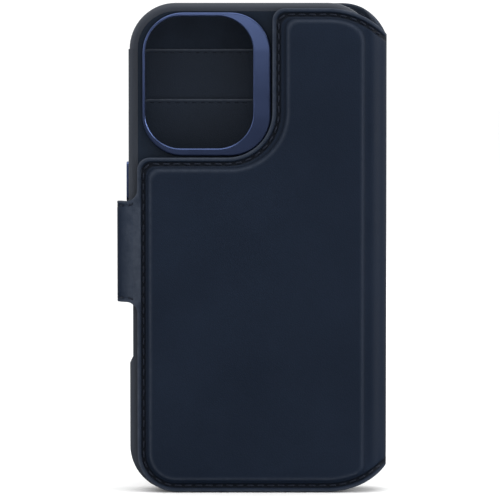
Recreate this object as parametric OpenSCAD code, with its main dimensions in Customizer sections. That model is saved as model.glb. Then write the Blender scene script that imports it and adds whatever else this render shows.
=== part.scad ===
// Phone wallet case: a leather folio that folds round a detachable inner phone case.
// The wallet stands upright: +Z runs up its height, its back panel faces -Y, its front
// cover faces +Y, its spine is at +X and its closing strap at -X. The origin is at the
// centre of the charging port, in the bottom face of the inner case.

/* [Phone] */
// Width of the phone that the inner case holds
phone_w = 71.6; // [65:0.1:86]
// Height of the phone
phone_h = 147.6; // [135:0.1:178]
// Thickness of the phone
phone_t = 7.8; // [6.5:0.1:9.6]
// Play between the phone and the inner case, all round
phone_play = 0.15; // [0.05:0.05:0.4]

/* [Inner case] */
// Thickness of the side walls
case_wall = 1.95; // [1.6:0.05:3]
// Radius of the outer corners
case_corner_r = 14.3; // [12:0.1:18]
// Rounding of the outer edges
case_edge_r = 2.2; // [0.5:0.1:2.6]
// Thickness of the back, with its leather and its lining
case_back_t = 1.7; // [1.5:0.1:3]
// Thickness of the leather let into the back
case_leather_t = 0.6; // [0.3:0.1:0.8]
// Width of shell left round the back leather
case_leather_margin = 2.6; // [2.3:0.1:5]
// Thickness of the lining inside the back
case_lining_t = 0.3; // [0.2:0.1:0.4]
// Height of the lip in front of the screen
lip_t = 0.7; // [0.4:0.1:1.5]
// How far the lip reaches over the phone's edge
lip_reach = 1.1; // [0.5:0.1:2]
// How far the grip rail beside the power button stands out
rail_t = 0.35; // [0.1:0.05:0.6]
// Depth of the finger scoop in the left wall
scoop_t = 1.2; // [0.4:0.1:1.4]
// Height of the middle of the scoop above the base
scoop_z = 51.5; // [48:0.5:60]
// Length of the scoop's floor
scoop_l = 18; // [14:1:22]

/* [Camera ring] */
// Outer width of the ring
ring_w = 39.6; // [34:0.1:44]
// Outer height of the ring
ring_h = 44.3; // [38:0.1:50]
// Outer corner radius
ring_r = 12.4; // [8:0.1:16]
// How far the ring stands out of the inner case's back
ring_proud = 2.4; // [1:0.1:3]
// Distance from the inner case's left side to the ring
ring_left = 4.1; // [3:0.1:6]
// Distance from the inner case's top to the ring
ring_top = 3; // [2.4:0.1:5]
// Width of the ring's band at its left side
band_left = 0.8; // [0.6:0.1:2]
// Width of the band at its top
band_top = 1.2; // [0.8:0.1:3]
// Width of the band at its right side
band_right = 5.4; // [1:0.1:7]
// Width of the band at its bottom
band_bottom = 2.3; // [1:0.1:4]
// Corner radius of the camera window
window_r = 11; // [6:0.5:14]

/* [Buttons] */
// How far the power button stands out
power_proud = 1.1; // [0.5:0.1:1.4]
// Length of the power button
power_l = 12.4; // [8:0.1:16]
// Height of the power button's middle above the base
power_z = 96.4; // [80:0.1:115]
// Length of each volume button
volume_l = 10; // [7:0.1:12]
// Height of the upper volume button's middle above the base
volume_up_z = 107; // [100:0.5:112]
// Height of the lower volume button's middle above the base
volume_down_z = 93; // [85:0.5:97]
// Length of the action button
action_l = 5; // [4:0.1:7]
// Height of the action button's middle above the base
action_z = 122; // [117:0.5:126]
// How far the volume and action buttons stand out
side_proud = 0.7; // [0.4:0.1:0.8]
// Width of every button
button_w = 3; // [2:0.1:4]
// Travel of every button
button_travel = 0.4; // [0.2:0.05:0.5]
// Running clearance round a button
button_gap = 0.12; // [0.08:0.01:0.2]

/* [Folio layers] */
// Thickness of the leather
leather_t = 1; // [0.8:0.1:1.4]
// Thickness of the stiffening boards
board_t = 0.8; // [0.6:0.1:1.2]
// Thickness of the suede lining
lining_t = 0.8; // [0.5:0.1:1.2]
// Clearance between layers that move past each other
layer_gap = 0.3; // [0.2:0.05:0.6]
// Width of the leather turned in round each board
turn_in = 2.2; // [1.5:0.1:3]
// Distance of the stitch groove from the edge
groove_inset = 1.1; // [0.8:0.1:1.8]
// Width of the stitch groove
groove_w = 1.7; // [1.2:0.1:2]
// Depth of the stitch groove
groove_d = 0.4; // [0.2:0.05:0.5]

/* [Back panel] */
// Height of the panel's lower edge above the base
panel_bottom = 0.3; // [0.2:0.1:2]
// Distance from the inner case's top to the panel's upper edge
panel_top = 1.7; // [0.5:0.1:3]
// Distance from the inner case's left side to the panel's edge
panel_left = 2.4; // [1.5:0.1:4]
// Radius of the panel's bottom left corner
panel_corner_r = 12; // [8:0.5:14]
// Radius of the panel's two corners beside the camera cut-out
cutout_corner_r = 3.8; // [2:0.1:5]
// Radius of the cut-out's inner corner
cutout_inner_r = 14; // [12.6:0.1:16]
// Clearance between the camera ring and the cut-out
cutout_gap = 0.5; // [0.3:0.1:1]
// How far the padded middle stands out of the panel
pad_rise = 0.8; // [0.4:0.1:1.5]
// Distance of the padded middle from the panel's edge
pad_inset = 3.5; // [3:0.1:6]
// Extra distance beside the upright edge of the cut-out
pad_extra = 0.9; // [0:0.1:2]

/* [Spine] */
// Distance from the inner case's right side to the outside of the spine
spine_reach = 3.9; // [3.6:0.1:6]
// Rounding of the spine's two long corners
spine_r = 7; // [5:0.1:8]
// Length over which the panel's ends fall away towards the spine
scallop_run = 18.5; // [12:0.5:24]
// How far the ends have fallen away at the spine's outer side
scallop_drop = 7.8; // [4:0.1:9]
// Greatest turn of each spine fold, in degrees
fold_max = 150; // [90:5:150]

/* [Front cover] */
// Distance from the inner case's left side to the cover's edge
cover_left = 0.6; // [0.2:0.1:3]
// How much higher than the back panel the cover sits
cover_lift = 1.7; // [0:0.1:1.7]
// Radius of the cover's corners
cover_corner_r = 14.3; // [9:0.1:16]
// Thickness of one pocket sheet
pocket_t = 0.4; // [0.3:0.05:0.5]
// Height of a card pocket
pocket_h = 92; // [88:1:110]
// Width of the outermost card pocket
pocket_w = 42; // [34:1:46]
// Step between one card pocket's mouth and the next
pocket_step = 9; // [6:0.5:10]

/* [Strap] */
// Height of the strap's middle above the base
strap_z = 74.9; // [70:0.1:80]
// Width of the strap
strap_w = 31.3; // [24:0.1:34]
// How far the strap stands out from the inner case's left side
strap_reach = 3.9; // [3:0.1:5]
// Rounding of the strap where it leaves the back panel
strap_r = 5; // [4:0.1:6]
// Radius of the hollow corners where the strap leaves the panel
strap_fillet_r = 3.5; // [2:0.1:5]
// How much the strap narrows on each side on its way to the front
strap_taper = 1.1; // [0:0.1:2]
// Length of the tip that folds over the front cover
tip_l = 26; // [18:1:32]
// How much the tip narrows on each side
tip_taper = 1.6; // [0:0.1:4]
// Radius of the tip's corners
tip_r = 6; // [3:0.5:9]
// Diameter of each magnet in the tip
tip_magnet_d = 8; // [5:0.5:9]

/* [Magnets and stitches] */
// Outer radius of the ring of magnets
magnet_r = 24.5; // [20:0.5:25]
// Width of the ring of magnets
magnet_w = 3.5; // [2:0.1:4]
// Number of magnets in the ring
magnet_n = 18; // [12:2:24]
// Gap between two magnets
magnet_gap = 0.5; // [0.3:0.1:1]
// Length of the alignment magnet below the ring
align_l = 18; // [10:1:24]
// Width of the alignment magnet
align_w = 3.6; // [2:0.1:5]
// Distance from one stitch to the next
stitch_pitch = 3.2; // [2.6:0.1:5]
// Length of a stitch
stitch_l = 2.2; // [1.2:0.1:2.4]
// Thickness of the thread
thread_t = 0.5; // [0.3:0.05:0.8]

/* [Hidden] */
$fn = 96;
far = 300;

// Inner case, centred on x = 0, standing on z = 0
case_w = phone_w + 2 * (phone_play + case_wall);
case_h = phone_h + 2 * (phone_play + case_wall);
case_x = case_w / 2;
pocket_corner_r = case_corner_r - case_wall;

// Layers through the closed wallet; the phone's middle is at y = 0
panel_t = leather_t + board_t + lining_t;
cover_t = panel_t + 4 * pocket_t;
phone_y = 0;
inner_y = -(phone_t + phone_play) / 2;
case_y = inner_y - case_back_t;
shell_y = case_y + case_leather_t;
back_y = case_y - layer_gap - panel_t;
pad_y = back_y - pad_rise;
lip_y = inner_y + phone_t + phone_play;
screen_y = lip_y + lip_t;
front_y = screen_y + layer_gap + cover_t;
mid_y = (back_y + front_y) / 2;

// Camera ring and its window
ring_x0 = -case_x + ring_left;
ring_x1 = ring_x0 + ring_w;
ring_z1 = case_h - ring_top;
ring_z0 = ring_z1 - ring_h;
ring_y = case_y - ring_proud;
ring_step = 0.4;
window_play = 0.3;

// Back panel outline
panel_x0 = -case_x + panel_left;
panel_z0 = panel_bottom;
panel_z1 = case_h - panel_top;
cut_x = ring_x1 + cutout_gap;
cut_z = ring_z0 - cutout_gap;
pad_corner_r = 3;

// Spine: two folds, each at the middle of a rounded corner
spine_x = case_x + spine_reach;
spine_cx = spine_x - spine_r;
fold_r = spine_r - panel_t / 2;
fold_x = spine_cx + fold_r * cos(45);
fold_back_y = back_y + spine_r - fold_r * sin(45);
fold_front_y = front_y - spine_r + fold_r * sin(45);
knuckle_play = 0.02;
knuckle_r = panel_t / 2 - knuckle_play;
knuckle_gap = 0.15;
scallop_r = (scallop_run * scallop_run + scallop_drop * scallop_drop) / (2 * scallop_drop);
scallop_x = spine_x - scallop_run;
pad_x1 = spine_cx - 0.3;

// Front cover outline, which meets the panel's outline at the spine's outer side
cover_x0 = -case_x + cover_left;
cover_z0 = panel_z0 + cover_lift;
cover_z1 = panel_z1 + cover_lift;
cover_top_cx = corner_centre(scallop_drop + cover_lift);
cover_bottom_cx = corner_centre(scallop_drop - cover_lift);
board_x1 = spine_cx - 1;
sheet_x0 = cover_x0 + 3;

// Strap: one fold at its rounded back corner, one at the front where it goes over the cover
strap_t = leather_t + lining_t;
strap_x = -case_x - strap_reach;
strap_cx = strap_x + strap_r;
strap_fold_r = strap_r - strap_t / 2;
strap_fold_x = strap_cx - strap_fold_r * cos(45);
strap_fold_y = back_y + strap_r - strap_fold_r * sin(45);
strap_knuckle_r = strap_t / 2 - knuckle_play;
strap_fold_max = 100;
tip_fold_x = strap_x + strap_t / 2;
tip_fold_y = front_y + layer_gap + strap_t / 2;
strap_z0 = strap_z - strap_w / 2;
strap_z1 = strap_z + strap_w / 2;
strap_y0 = back_y + strap_r;
strap_y1 = tip_fold_y - strap_t;
strap_slope = strap_taper / (tip_fold_y - strap_y0);
tip_w = strap_w - 2 * strap_taper;
tip_y1 = tip_fold_y + tip_l;
tip_magnet_t = 0.5;
tip_magnet_y = tip_fold_y + tip_l - tip_r - 1;
tip_magnet_dz = 6;

// Magnets
magnet_z = case_h / 2;
align_z = magnet_z - magnet_r - 12;
shell_magnet_t = case_back_t - case_leather_t - case_lining_t - 0.2;
latch_w = 13;
latch_h = 24;
latch_x = tip_fold_x + (tip_magnet_y - tip_fold_y);

// Buttons
flange_t = 0.5;
flange_w = 0.6;
port_w = 13;
port_d = 5.4;
speaker_w = 9;
speaker_d = 1.8;
speaker_x = 17.5;
slot_d = 5;

function inset_r(r, d) = max(r - d, pad_corner_r);

// Where a corner of the cover is centred so that it has fallen this far at the spine's outer side
function corner_centre(drop) =
    spine_x - sqrt(pow(cover_corner_r, 2) - pow(cover_corner_r - drop, 2));

// ---------- helpers ----------

// Turns an outline drawn in x and z into a plate from y0 to y1
module plate(y0, y1) {
    translate([0, y1, 0])
        rotate([90, 0, 0])
            linear_extrude(y1 - y0) children();
}

// Turns a section drawn in x and y into a bar from z0 to z1
module upright(z0, z1) {
    translate([0, 0, z0])
        linear_extrude(z1 - z0) children();
}

// The sliver between a square corner at (x, z) and an arc of radius r
module sliver(x, z, sx, sz, r) {
    difference() {
        translate([x + (sx < 0 ? -r : 0), z + (sz < 0 ? -r : 0)])
            square(r);
        translate([x + sx * r, z + sz * r])
            circle(r);
    }
}

// Rectangle with its own radius at each corner; 0 leaves a corner square
module block(x0, x1, z0, z1, r_bl, r_tl, r_tr, r_br) {
    difference() {
        translate([x0, z0])
            square([x1 - x0, z1 - z0]);
        if (r_bl > 0) sliver(x0, z0, 1, 1, r_bl);
        if (r_tl > 0) sliver(x0, z1, 1, -1, r_tl);
        if (r_tr > 0) sliver(x1, z1, -1, -1, r_tr);
        if (r_br > 0) sliver(x1, z0, -1, 1, r_br);
    }
}

module rounded(x0, x1, z0, z1, r) {
    block(x0, x1, z0, z1, r, r, r, r);
}

// Slot with round ends, centred on (x, z)
module stadium(x, z, length, width, upright_slot) {
    w = upright_slot ? width : length;
    h = upright_slot ? length : width;
    rounded(x - w / 2, x + w / 2, z - h / 2, z + h / 2, width / 2 - 0.001);
}

// Plate with rounded corners and rounded edges
module soft_plate(x0, x1, z0, z1, y0, y1, r, f) {
    t = y1 - y0;
    for (x = [x0 + r, x1 - r], z = [z0 + r, z1 - r])
        translate([x, y0, z])
            rotate([-90, 0, 0])
                rotate_extrude()
                    block(0, r, 0, t, 0, 0, f, f);
    upright(z0 + r, z1 - r)
        rounded(x0, x1, y0, y1, f);
    translate([x0 + r, 0, 0])
        rotate([90, 0, 90])
            linear_extrude(x1 - x0 - 2 * r)
                rounded(y0, y1, z0, z1, f);
}

// One row of stitches from (xa, za) to (xb, zb), lying on the plane y
module stitch_row(xa, za, xb, zb, y) {
    length = norm([xb - xa, zb - za]);
    angle = atan2(zb - za, xb - xa);
    count = max(1, floor(length / stitch_pitch));
    step = length / count;
    for (i = [0 : count - 1])
        translate([xa, y, za])
            rotate([0, -angle, 0])
                translate([(i + 0.5) * step - stitch_l / 2, 0, -thread_t / 2])
                    cube([stitch_l, groove_d, thread_t]);
}

// Stitches along an arc
module stitch_arc(x, z, r, a0, a1, y) {
    count = max(1, floor(abs(a1 - a0) * PI / 180 * r / stitch_pitch));
    step = (a1 - a0) / count;
    for (i = [0 : count - 1])
        translate([x, y, z])
            rotate([0, -(a0 + (i + 0.5) * step), 0])
                translate([r - thread_t / 2, 0, -stitch_l / 2])
                    cube([thread_t, groove_d, stitch_l]);
}

// ---------- outlines in x and z ----------

// Back panel with its camera cut-out, drawn d inside its edge and up to x1
module panel_outline(d, x1, extra = 0) {
    r_corner = panel_corner_r - d;
    r_small = inset_r(cutout_corner_r, d);
    left = panel_x0 + d;
    bottom = panel_z0 + d;
    shelf = cut_z - d;
    side = cut_x + d + extra;
    intersection() {
        union() {
            block(left, far, bottom, shelf, r_corner, r_small, 0, 0);
            block(side, far, bottom, panel_z1 - d, 0, r_small, 0, 0);
            sliver(side, shelf, -1, 1, cutout_inner_r + d);
        }
        scalloped(d, x1);
    }
}

// Everything up to x1 between ends that fall away towards the spine
module scalloped(d, x1) {
    intersection() {
        union() {
            translate([-far, panel_z0 + d])
                square([far + scallop_x, panel_z1 - panel_z0 - 2 * d]);
            translate([scallop_x, panel_z0 + scallop_r])
                circle(scallop_r - d);
            translate([scallop_x, panel_z1 - scallop_r])
                circle(scallop_r - d);
            translate([scallop_x, panel_z0 + scallop_r])
                square([scallop_r - d, panel_z1 - panel_z0 - 2 * scallop_r]);
        }
        translate([-far, -far])
            square([far + x1, 3 * far]);
    }
}

// Front cover, drawn d inside its edge and up to x1
module cover_outline(d, x1) {
    r = cover_corner_r;
    intersection() {
        block(cover_x0 + d, far, cover_z0 + d, cover_z1 - d, r - d, r - d, 0, 0);
        union() {
            cover_end(cover_bottom_cx, 0, cover_z0 + r, r - d);
            cover_end(cover_top_cx, cover_z1 - r, case_h, r - d);
            translate([-far, cover_z0 + r])
                square([2 * far, cover_z1 - cover_z0 - 2 * r]);
        }
        translate([-far, -far])
            square([far + x1, 3 * far]);
    }
}

// Part of the cover from z0 to z1 beside a corner centred at cx, at the lower or the upper end
module cover_end(cx, z0, z1, r) {
    translate([cx, z0 == 0 ? z1 : z0])
        circle(r);
    translate([-far, z0])
        square([far + cx, z1 - z0]);
}

module window_outline(play) {
    rounded(ring_x0 + band_left - play, ring_x1 - band_right + play,
            ring_z0 + band_bottom - play, ring_z1 - band_top + play, window_r);
}

module ring_outline(d) {
    rounded(ring_x0 + d, ring_x1 - d, ring_z0 + d, ring_z1 - d, ring_r - d);
}

// Tip of the strap, drawn d inside its edge, with x standing for the distance from the fold
module tip_outline(d) {
    slope = atan(tip_taper / tip_l);
    half = tip_w / 2;
    lift = tip_r / cos(slope);
    cx = tip_l - tip_r;
    cz = half - cx * tan(slope) - lift;
    reach = tip_r - d;
    intersection() {
        union() {
            polygon([
                [0, -half + d / cos(slope)],
                [cx + reach * sin(slope), -cz - reach * cos(slope)],
                [cx + reach * sin(slope), cz + reach * cos(slope)],
                [0, half - d / cos(slope)]
            ]);
            translate([cx, -cz])
                square([reach, 2 * cz]);
            translate([cx, cz])
                circle(reach);
            translate([cx, -cz])
                circle(reach);
        }
        translate([0, -half])
            square([tip_l, 2 * half]);
    }
}

// ---------- sections in x and y ----------

// Everything inside the folio's outer surface, drawn d below that surface
module folio_section(d) {
    block(-far, spine_x - d, back_y + d, front_y - d, 0, 0, spine_r - d, spine_r - d);
}

// One layer of the folio, from d0 to d1 below its outer surface
module folio_layer(d0, d1) {
    difference() {
        folio_section(d0);
        folio_section(d1);
    }
}

// One layer of the strap, which rounds the back left corner and runs forward
module strap_layer(d0, d1) {
    difference() {
        block(strap_x + d0, panel_x0, back_y + d0, far, strap_r - d0, 0, 0, 0);
        block(strap_x + d1, far, back_y + d1, far, strap_r - d1, 0, 0, 0);
    }
}

// The fixed side of a fold: layers end clear of the round end that turns at the origin.
// Local x points across the fold and local y points inwards.
module fixed_side(r, turn) {
    e = r + knuckle_gap;
    back = 180 - turn;
    y_edge = turn > 90 ? e * (1 - sin(back)) / cos(back) : -far;
    polygon([
        [-e, far],
        [-e, y_edge],
        [-e - far * cos(back), y_edge - far * sin(back)],
        [-far - far, y_edge - far * sin(back)],
        [-far - far, far]
    ]);
}

module back_zone() {
    intersection() {
        translate([fold_x, fold_back_y])
            rotate(45)
                fixed_side(knuckle_r, fold_max);
        translate([-far, -far])
            square([2 * far, far + mid_y]);
    }
}

module cover_zone() {
    translate([0, 2 * mid_y])
        mirror([0, 1])
            back_zone();
}

module spine_zone() {
    polygon([
        [spine_cx, back_y + spine_r],
        [spine_cx + far, back_y + spine_r - far],
        [spine_cx + far, front_y - spine_r + far],
        [spine_cx, front_y - spine_r]
    ]);
    translate([fold_x, fold_back_y])
        circle(knuckle_r);
    translate([fold_x, fold_front_y])
        circle(knuckle_r);
}

module strap_root_zone() {
    translate([strap_fold_x, strap_fold_y])
        mirror([1, 0])
            rotate(45)
                fixed_side(strap_knuckle_r, strap_fold_max);
}

module strap_zone() {
    polygon([
        [strap_cx, back_y + strap_r],
        [strap_cx - far, back_y + strap_r - far],
        [strap_cx - far, tip_fold_y - strap_knuckle_r - knuckle_gap],
        [strap_cx, tip_fold_y - strap_knuckle_r - knuckle_gap]
    ]);
    translate([strap_fold_x, strap_fold_y])
        circle(strap_knuckle_r);
}

module tip_zone() {
    translate([tip_fold_x, tip_fold_y])
        circle(strap_knuckle_r);
    translate([-far, tip_fold_y])
        square([2 * far, far]);
}

// ---------- back panel ----------

// Groove that the stitches lie in, along every edge but the spine's
module back_groove() {
    plate(back_y, back_y + groove_d)
        difference() {
            panel_outline(groove_inset, spine_cx);
            panel_outline(groove_inset + groove_w, spine_cx + 1);
        }
}

module strap_root() {
    intersection() {
        upright(strap_z0 - strap_fillet_r, strap_z1 + strap_fillet_r)
            intersection() {
                strap_layer(0, strap_t);
                strap_root_zone();
            }
        plate(back_y, mid_y) {
            translate([strap_x, strap_z0])
                square([panel_x0 - strap_x, strap_w]);
            sliver(panel_x0, strap_z1, -1, 1, strap_fillet_r);
            sliver(panel_x0, strap_z0, -1, -1, strap_fillet_r);
        }
    }
}

module back_leather() {
    color([0.12, 0.155, 0.205])
        difference() {
            union() {
                intersection() {
                    upright(0, case_h)
                        intersection() {
                            folio_layer(0, leather_t);
                            back_zone();
                        }
                    plate(back_y, mid_y)
                        panel_outline(0, far);
                }
                plate(pad_y, back_y + leather_t)
                    panel_outline(pad_inset, pad_x1, pad_extra);
                plate(back_y + leather_t, back_y + leather_t + board_t)
                    difference() {
                        panel_outline(0, board_x1);
                        panel_outline(turn_in, board_x1 + 1);
                    }
                strap_root();
            }
            back_groove();
            plate(pad_y + leather_t, back_y + leather_t)
                panel_outline(pad_inset + leather_t, pad_x1 - leather_t, pad_extra);
        }
}

module back_padding() {
    color([0.2, 0.2, 0.22])
        plate(pad_y + leather_t, back_y + leather_t)
            panel_outline(pad_inset + leather_t, pad_x1 - leather_t, pad_extra);
}

// Ring of separate magnets, cut apart by thin radial bars
module magnet_ring(y0, y1) {
    difference() {
        translate([0, y1, magnet_z])
            rotate([90, 0, 0])
                difference() {
                    cylinder(h = y1 - y0, r = magnet_r);
                    translate([0, 0, -1])
                        cylinder(h = y1 - y0 + 2, r = magnet_r - magnet_w);
                }
        for (i = [0 : magnet_n / 2 - 1])
            translate([0, 0, magnet_z])
                rotate([0, i * 360 / magnet_n, 0])
                    translate([-magnet_gap / 2, y0 - 1, -magnet_r - 1])
                        cube([magnet_gap, y1 - y0 + 2, 2 * magnet_r + 2]);
    }
}

module magnet_slots(y0, y1) {
    translate([0, y1, magnet_z])
        rotate([90, 0, 0])
            difference() {
                cylinder(h = y1 - y0, r = magnet_r);
                translate([0, 0, -1])
                    cylinder(h = y1 - y0 + 2, r = magnet_r - magnet_w);
            }
    alignment_magnet(y0, y1);
}

module alignment_magnet(y0, y1) {
    plate(y0, y1)
        rounded(-align_l / 2, align_l / 2, align_z - align_w / 2, align_z + align_w / 2, 1);
}

module back_board() {
    color([0.45, 0.42, 0.36])
        difference() {
            plate(back_y + leather_t, back_y + leather_t + board_t)
                panel_outline(turn_in, board_x1);
            magnet_slots(back_y + leather_t, back_y + leather_t + board_t);
        }
}

module wallet_magnet_ring() {
    color([0.6, 0.6, 0.62])
        magnet_ring(back_y + leather_t, back_y + leather_t + board_t);
}

module wallet_alignment_magnet() {
    color([0.6, 0.6, 0.62])
        alignment_magnet(back_y + leather_t, back_y + leather_t + board_t);
}

module back_lining() {
    color([0.1, 0.12, 0.17])
        intersection() {
            upright(0, case_h)
                intersection() {
                    folio_layer(leather_t + board_t, panel_t);
                    back_zone();
                }
            plate(back_y, mid_y)
                panel_outline(0.4, far);
        }
}

module back_stitching() {
    d = groove_inset + groove_w / 2;
    y = back_y;
    r = panel_corner_r - d;
    r_in = cutout_inner_r + d;
    r_small = inset_r(cutout_corner_r, d);
    color([0.16, 0.2, 0.27]) {
        stitch_row(panel_x0 + d, panel_z0 + panel_corner_r, panel_x0 + d, cut_z - d - r_small, y);
        stitch_arc(panel_x0 + panel_corner_r, panel_z0 + panel_corner_r, r, 180, 270, y);
        stitch_row(panel_x0 + panel_corner_r, panel_z0 + d, scallop_x, panel_z0 + d, y);
        stitch_row(panel_x0 + d + r_small, cut_z - d, cut_x + d - r_in, cut_z - d, y);
        stitch_arc(cut_x + d - r_in, cut_z - d + r_in, r_in, 270, 360, y);
        stitch_row(cut_x + d, cut_z - d + r_in, cut_x + d, panel_z1 - d - r_small, y);
        stitch_row(cut_x + d + r_small, panel_z1 - d, scallop_x, panel_z1 - d, y);
    }
}

// ---------- spine ----------

// Ends of the spine: the panel's outline behind the middle, the cover's in front of it
module spine_ends() {
    plate(back_y, mid_y)
        panel_outline(0, far);
    plate(mid_y, front_y)
        cover_outline(0, far);
}

module spine_part(d0, d1) {
    intersection() {
        upright(0, case_h)
            intersection() {
                folio_layer(d0, d1);
                spine_zone();
            }
        spine_ends();
    }
}

module spine_leather() {
    color([0.14, 0.17, 0.22])
        spine_part(0, leather_t);
}

module spine_stiffener() {
    color([0.3, 0.3, 0.32])
        spine_part(leather_t, leather_t + board_t);
}

module spine_lining() {
    color([0.1, 0.12, 0.17])
        spine_part(leather_t + board_t, panel_t);
}

// ---------- front cover ----------

module cover_layer(d0, d1, inset) {
    intersection() {
        upright(0, case_h)
            intersection() {
                folio_layer(d0, d1);
                cover_zone();
            }
        plate(mid_y, front_y)
            cover_outline(inset, far);
    }
}

module cover_leather() {
    color([0.12, 0.155, 0.205])
        difference() {
            union() {
                cover_layer(0, leather_t, 0);
                plate(front_y - leather_t - board_t, front_y - leather_t)
                    difference() {
                        cover_outline(0, board_x1);
                        cover_outline(turn_in, board_x1 + 1);
                    }
            }
            plate(front_y - groove_d, front_y)
                difference() {
                    cover_outline(groove_inset, spine_cx);
                    cover_outline(groove_inset + groove_w, spine_cx + 1);
                }
        }
}

module latch_outline() {
    rounded(latch_x - latch_w / 2, latch_x + latch_w / 2,
            strap_z - latch_h / 2, strap_z + latch_h / 2, 2);
}

module cover_board() {
    color([0.45, 0.42, 0.36])
        plate(front_y - leather_t - board_t, front_y - leather_t)
            difference() {
                cover_outline(turn_in, board_x1);
                latch_outline();
            }
}

module latch_plate() {
    color([0.55, 0.56, 0.58])
        plate(front_y - leather_t - board_t, front_y - leather_t)
            latch_outline();
}

module cover_lining() {
    color([0.1, 0.12, 0.17])
        cover_layer(leather_t + board_t, panel_t, 0.4);
}

module cover_stitching() {
    d = groove_inset + groove_w / 2;
    y = front_y - groove_d;
    r = cover_corner_r;
    color([0.16, 0.2, 0.27]) {
        stitch_row(cover_x0 + d, cover_z0 + r, cover_x0 + d, cover_z1 - r, y);
        stitch_arc(cover_x0 + r, cover_z0 + r, r - d, 180, 270, y);
        stitch_arc(cover_x0 + r, cover_z1 - r, r - d, 90, 180, y);
        stitch_row(cover_x0 + r, cover_z0 + d, cover_bottom_cx, cover_z0 + d, y);
        stitch_row(cover_x0 + r, cover_z1 - d, cover_top_cx, cover_z1 - d, y);
    }
}

// Pocket sheet number n from the lining, open towards the spine
module pocket(n, height, width) {
    y1 = front_y - panel_t - n * pocket_t;
    plate(y1 - pocket_t, y1)
        rounded(sheet_x0, sheet_x0 + width, magnet_z - height / 2, magnet_z + height / 2, 2);
}

module cash_pocket() {
    color([0.1, 0.13, 0.18])
        pocket(0, case_h - 2 * cover_corner_r, pocket_w + 2.4 * pocket_step);
}

module card_pocket(n) {
    color([0.12, 0.15, 0.2])
        pocket(n, pocket_h, pocket_w + (3 - n) * pocket_step);
}

module card_pocket_1() {
    card_pocket(1);
}

module card_pocket_2() {
    card_pocket(2);
}

module card_pocket_3() {
    card_pocket(3);
}

// ---------- strap ----------

module strap_part(d0, d1) {
    intersection() {
        upright(strap_z0, strap_z1)
            intersection() {
                strap_layer(d0, d1);
                strap_zone();
            }
        between_strap_edges();
    }
}

// Everything between the strap's two long edges, which near each other on their way forward
module between_strap_edges() {
    back = strap_w / 2;
    front = tip_w / 2;
    translate([-far, 0, strap_z])
        rotate([90, 0, 90])
            linear_extrude(2 * far)
                polygon([
                    [-far, -back],
                    [strap_y0, -back],
                    [tip_fold_y, -front],
                    [far, -front],
                    [far, front],
                    [tip_fold_y, front],
                    [strap_y0, back],
                    [-far, back]
                ]);
}

module strap_leather() {
    z = strap_w / 2 - groove_inset - thread_t / 2;
    angle = atan(strap_slope);
    color([0.15, 0.18, 0.23])
        difference() {
            strap_part(0, leather_t);
            for (side = [-1, 1])
                translate([strap_x, strap_y0, strap_z + side * z])
                    rotate([-side * angle, 0, 0])
                        translate([0, 0, -thread_t / 2])
                            cube([groove_d, (strap_y1 - strap_y0) / cos(angle), thread_t]);
        }
}

module strap_lining() {
    color([0.1, 0.12, 0.17])
        strap_part(leather_t, strap_t);
}

// Stitches along both long edges from y0 to y1, at z0 from the middle and nearing it by the slope
module edge_stitches(y0, y1, z0, slope) {
    count = floor((y1 - y0) / stitch_pitch);
    step = (y1 - y0) / count;
    for (i = [0 : count - 1], side = [-1, 1])
        translate([strap_x, y0 + (i + 0.5) * step, strap_z + side * (z0 - slope * (i + 0.5) * step)])
            rotate([-side * atan(slope), 0, 0])
                translate([0, -stitch_l / 2, -thread_t / 2])
                    cube([groove_d, stitch_l, thread_t]);
}

module strap_stitching() {
    color([0.16, 0.2, 0.27])
        edge_stitches(strap_y0, strap_y1, strap_w / 2 - groove_inset - thread_t / 2, strap_slope);
}

// The tip stands straight forward until it is folded over the cover
module tip_plate(x0, x1, inset) {
    intersection() {
        translate([x0, tip_fold_y, strap_z])
            rotate([90, 0, 90])
                linear_extrude(x1 - x0) {
                    tip_outline(inset);
                    translate([-strap_t, -tip_w / 2 + inset])
                        square([strap_t + 0.01, tip_w - 2 * inset]);
                }
        upright(strap_z0, strap_z1)
            tip_zone();
    }
}

module tip_groove() {
    translate([strap_x, tip_fold_y, strap_z])
        rotate([90, 0, 90])
            linear_extrude(groove_d)
                difference() {
                    tip_outline(groove_inset);
                    tip_outline(groove_inset + thread_t);
                    square([4, 2 * strap_w], center = true);
                }
}

// Two round magnets, one above the other, near the tip's end
module tip_discs() {
    for (side = [-1, 1])
        translate([strap_x + leather_t - tip_magnet_t, tip_magnet_y, strap_z + side * tip_magnet_dz])
            rotate([0, 90, 0])
                cylinder(h = tip_magnet_t, d = tip_magnet_d);
}

module tip_leather() {
    color([0.15, 0.18, 0.23])
        difference() {
            tip_plate(strap_x, strap_x + leather_t, 0);
            tip_groove();
            tip_discs();
        }
}

module tip_lining() {
    color([0.1, 0.12, 0.17])
        tip_plate(strap_x + leather_t, strap_x + strap_t, 0);
}

module tip_magnets() {
    color([0.6, 0.6, 0.62])
        tip_discs();
}

module tip_stitching() {
    inset = groove_inset + thread_t / 2;
    slope = tip_taper / tip_l;
    y0 = tip_fold_y + 2;
    z0 = tip_w / 2 - inset * sqrt(1 + slope * slope) - 2 * slope;
    count = floor((tip_w - 2 * tip_taper - 2 * tip_r) / stitch_pitch);
    color([0.16, 0.2, 0.27]) {
        edge_stitches(y0, tip_y1 - tip_r, z0, slope);
        for (i = [0 : count - 1])
            translate([strap_x, tip_y1 - inset - thread_t / 2,
                       strap_z + (i - (count - 1) / 2) * stitch_pitch - stitch_l / 2])
                cube([groove_d, thread_t, stitch_l]);
    }
}

// ---------- inner case ----------

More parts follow.
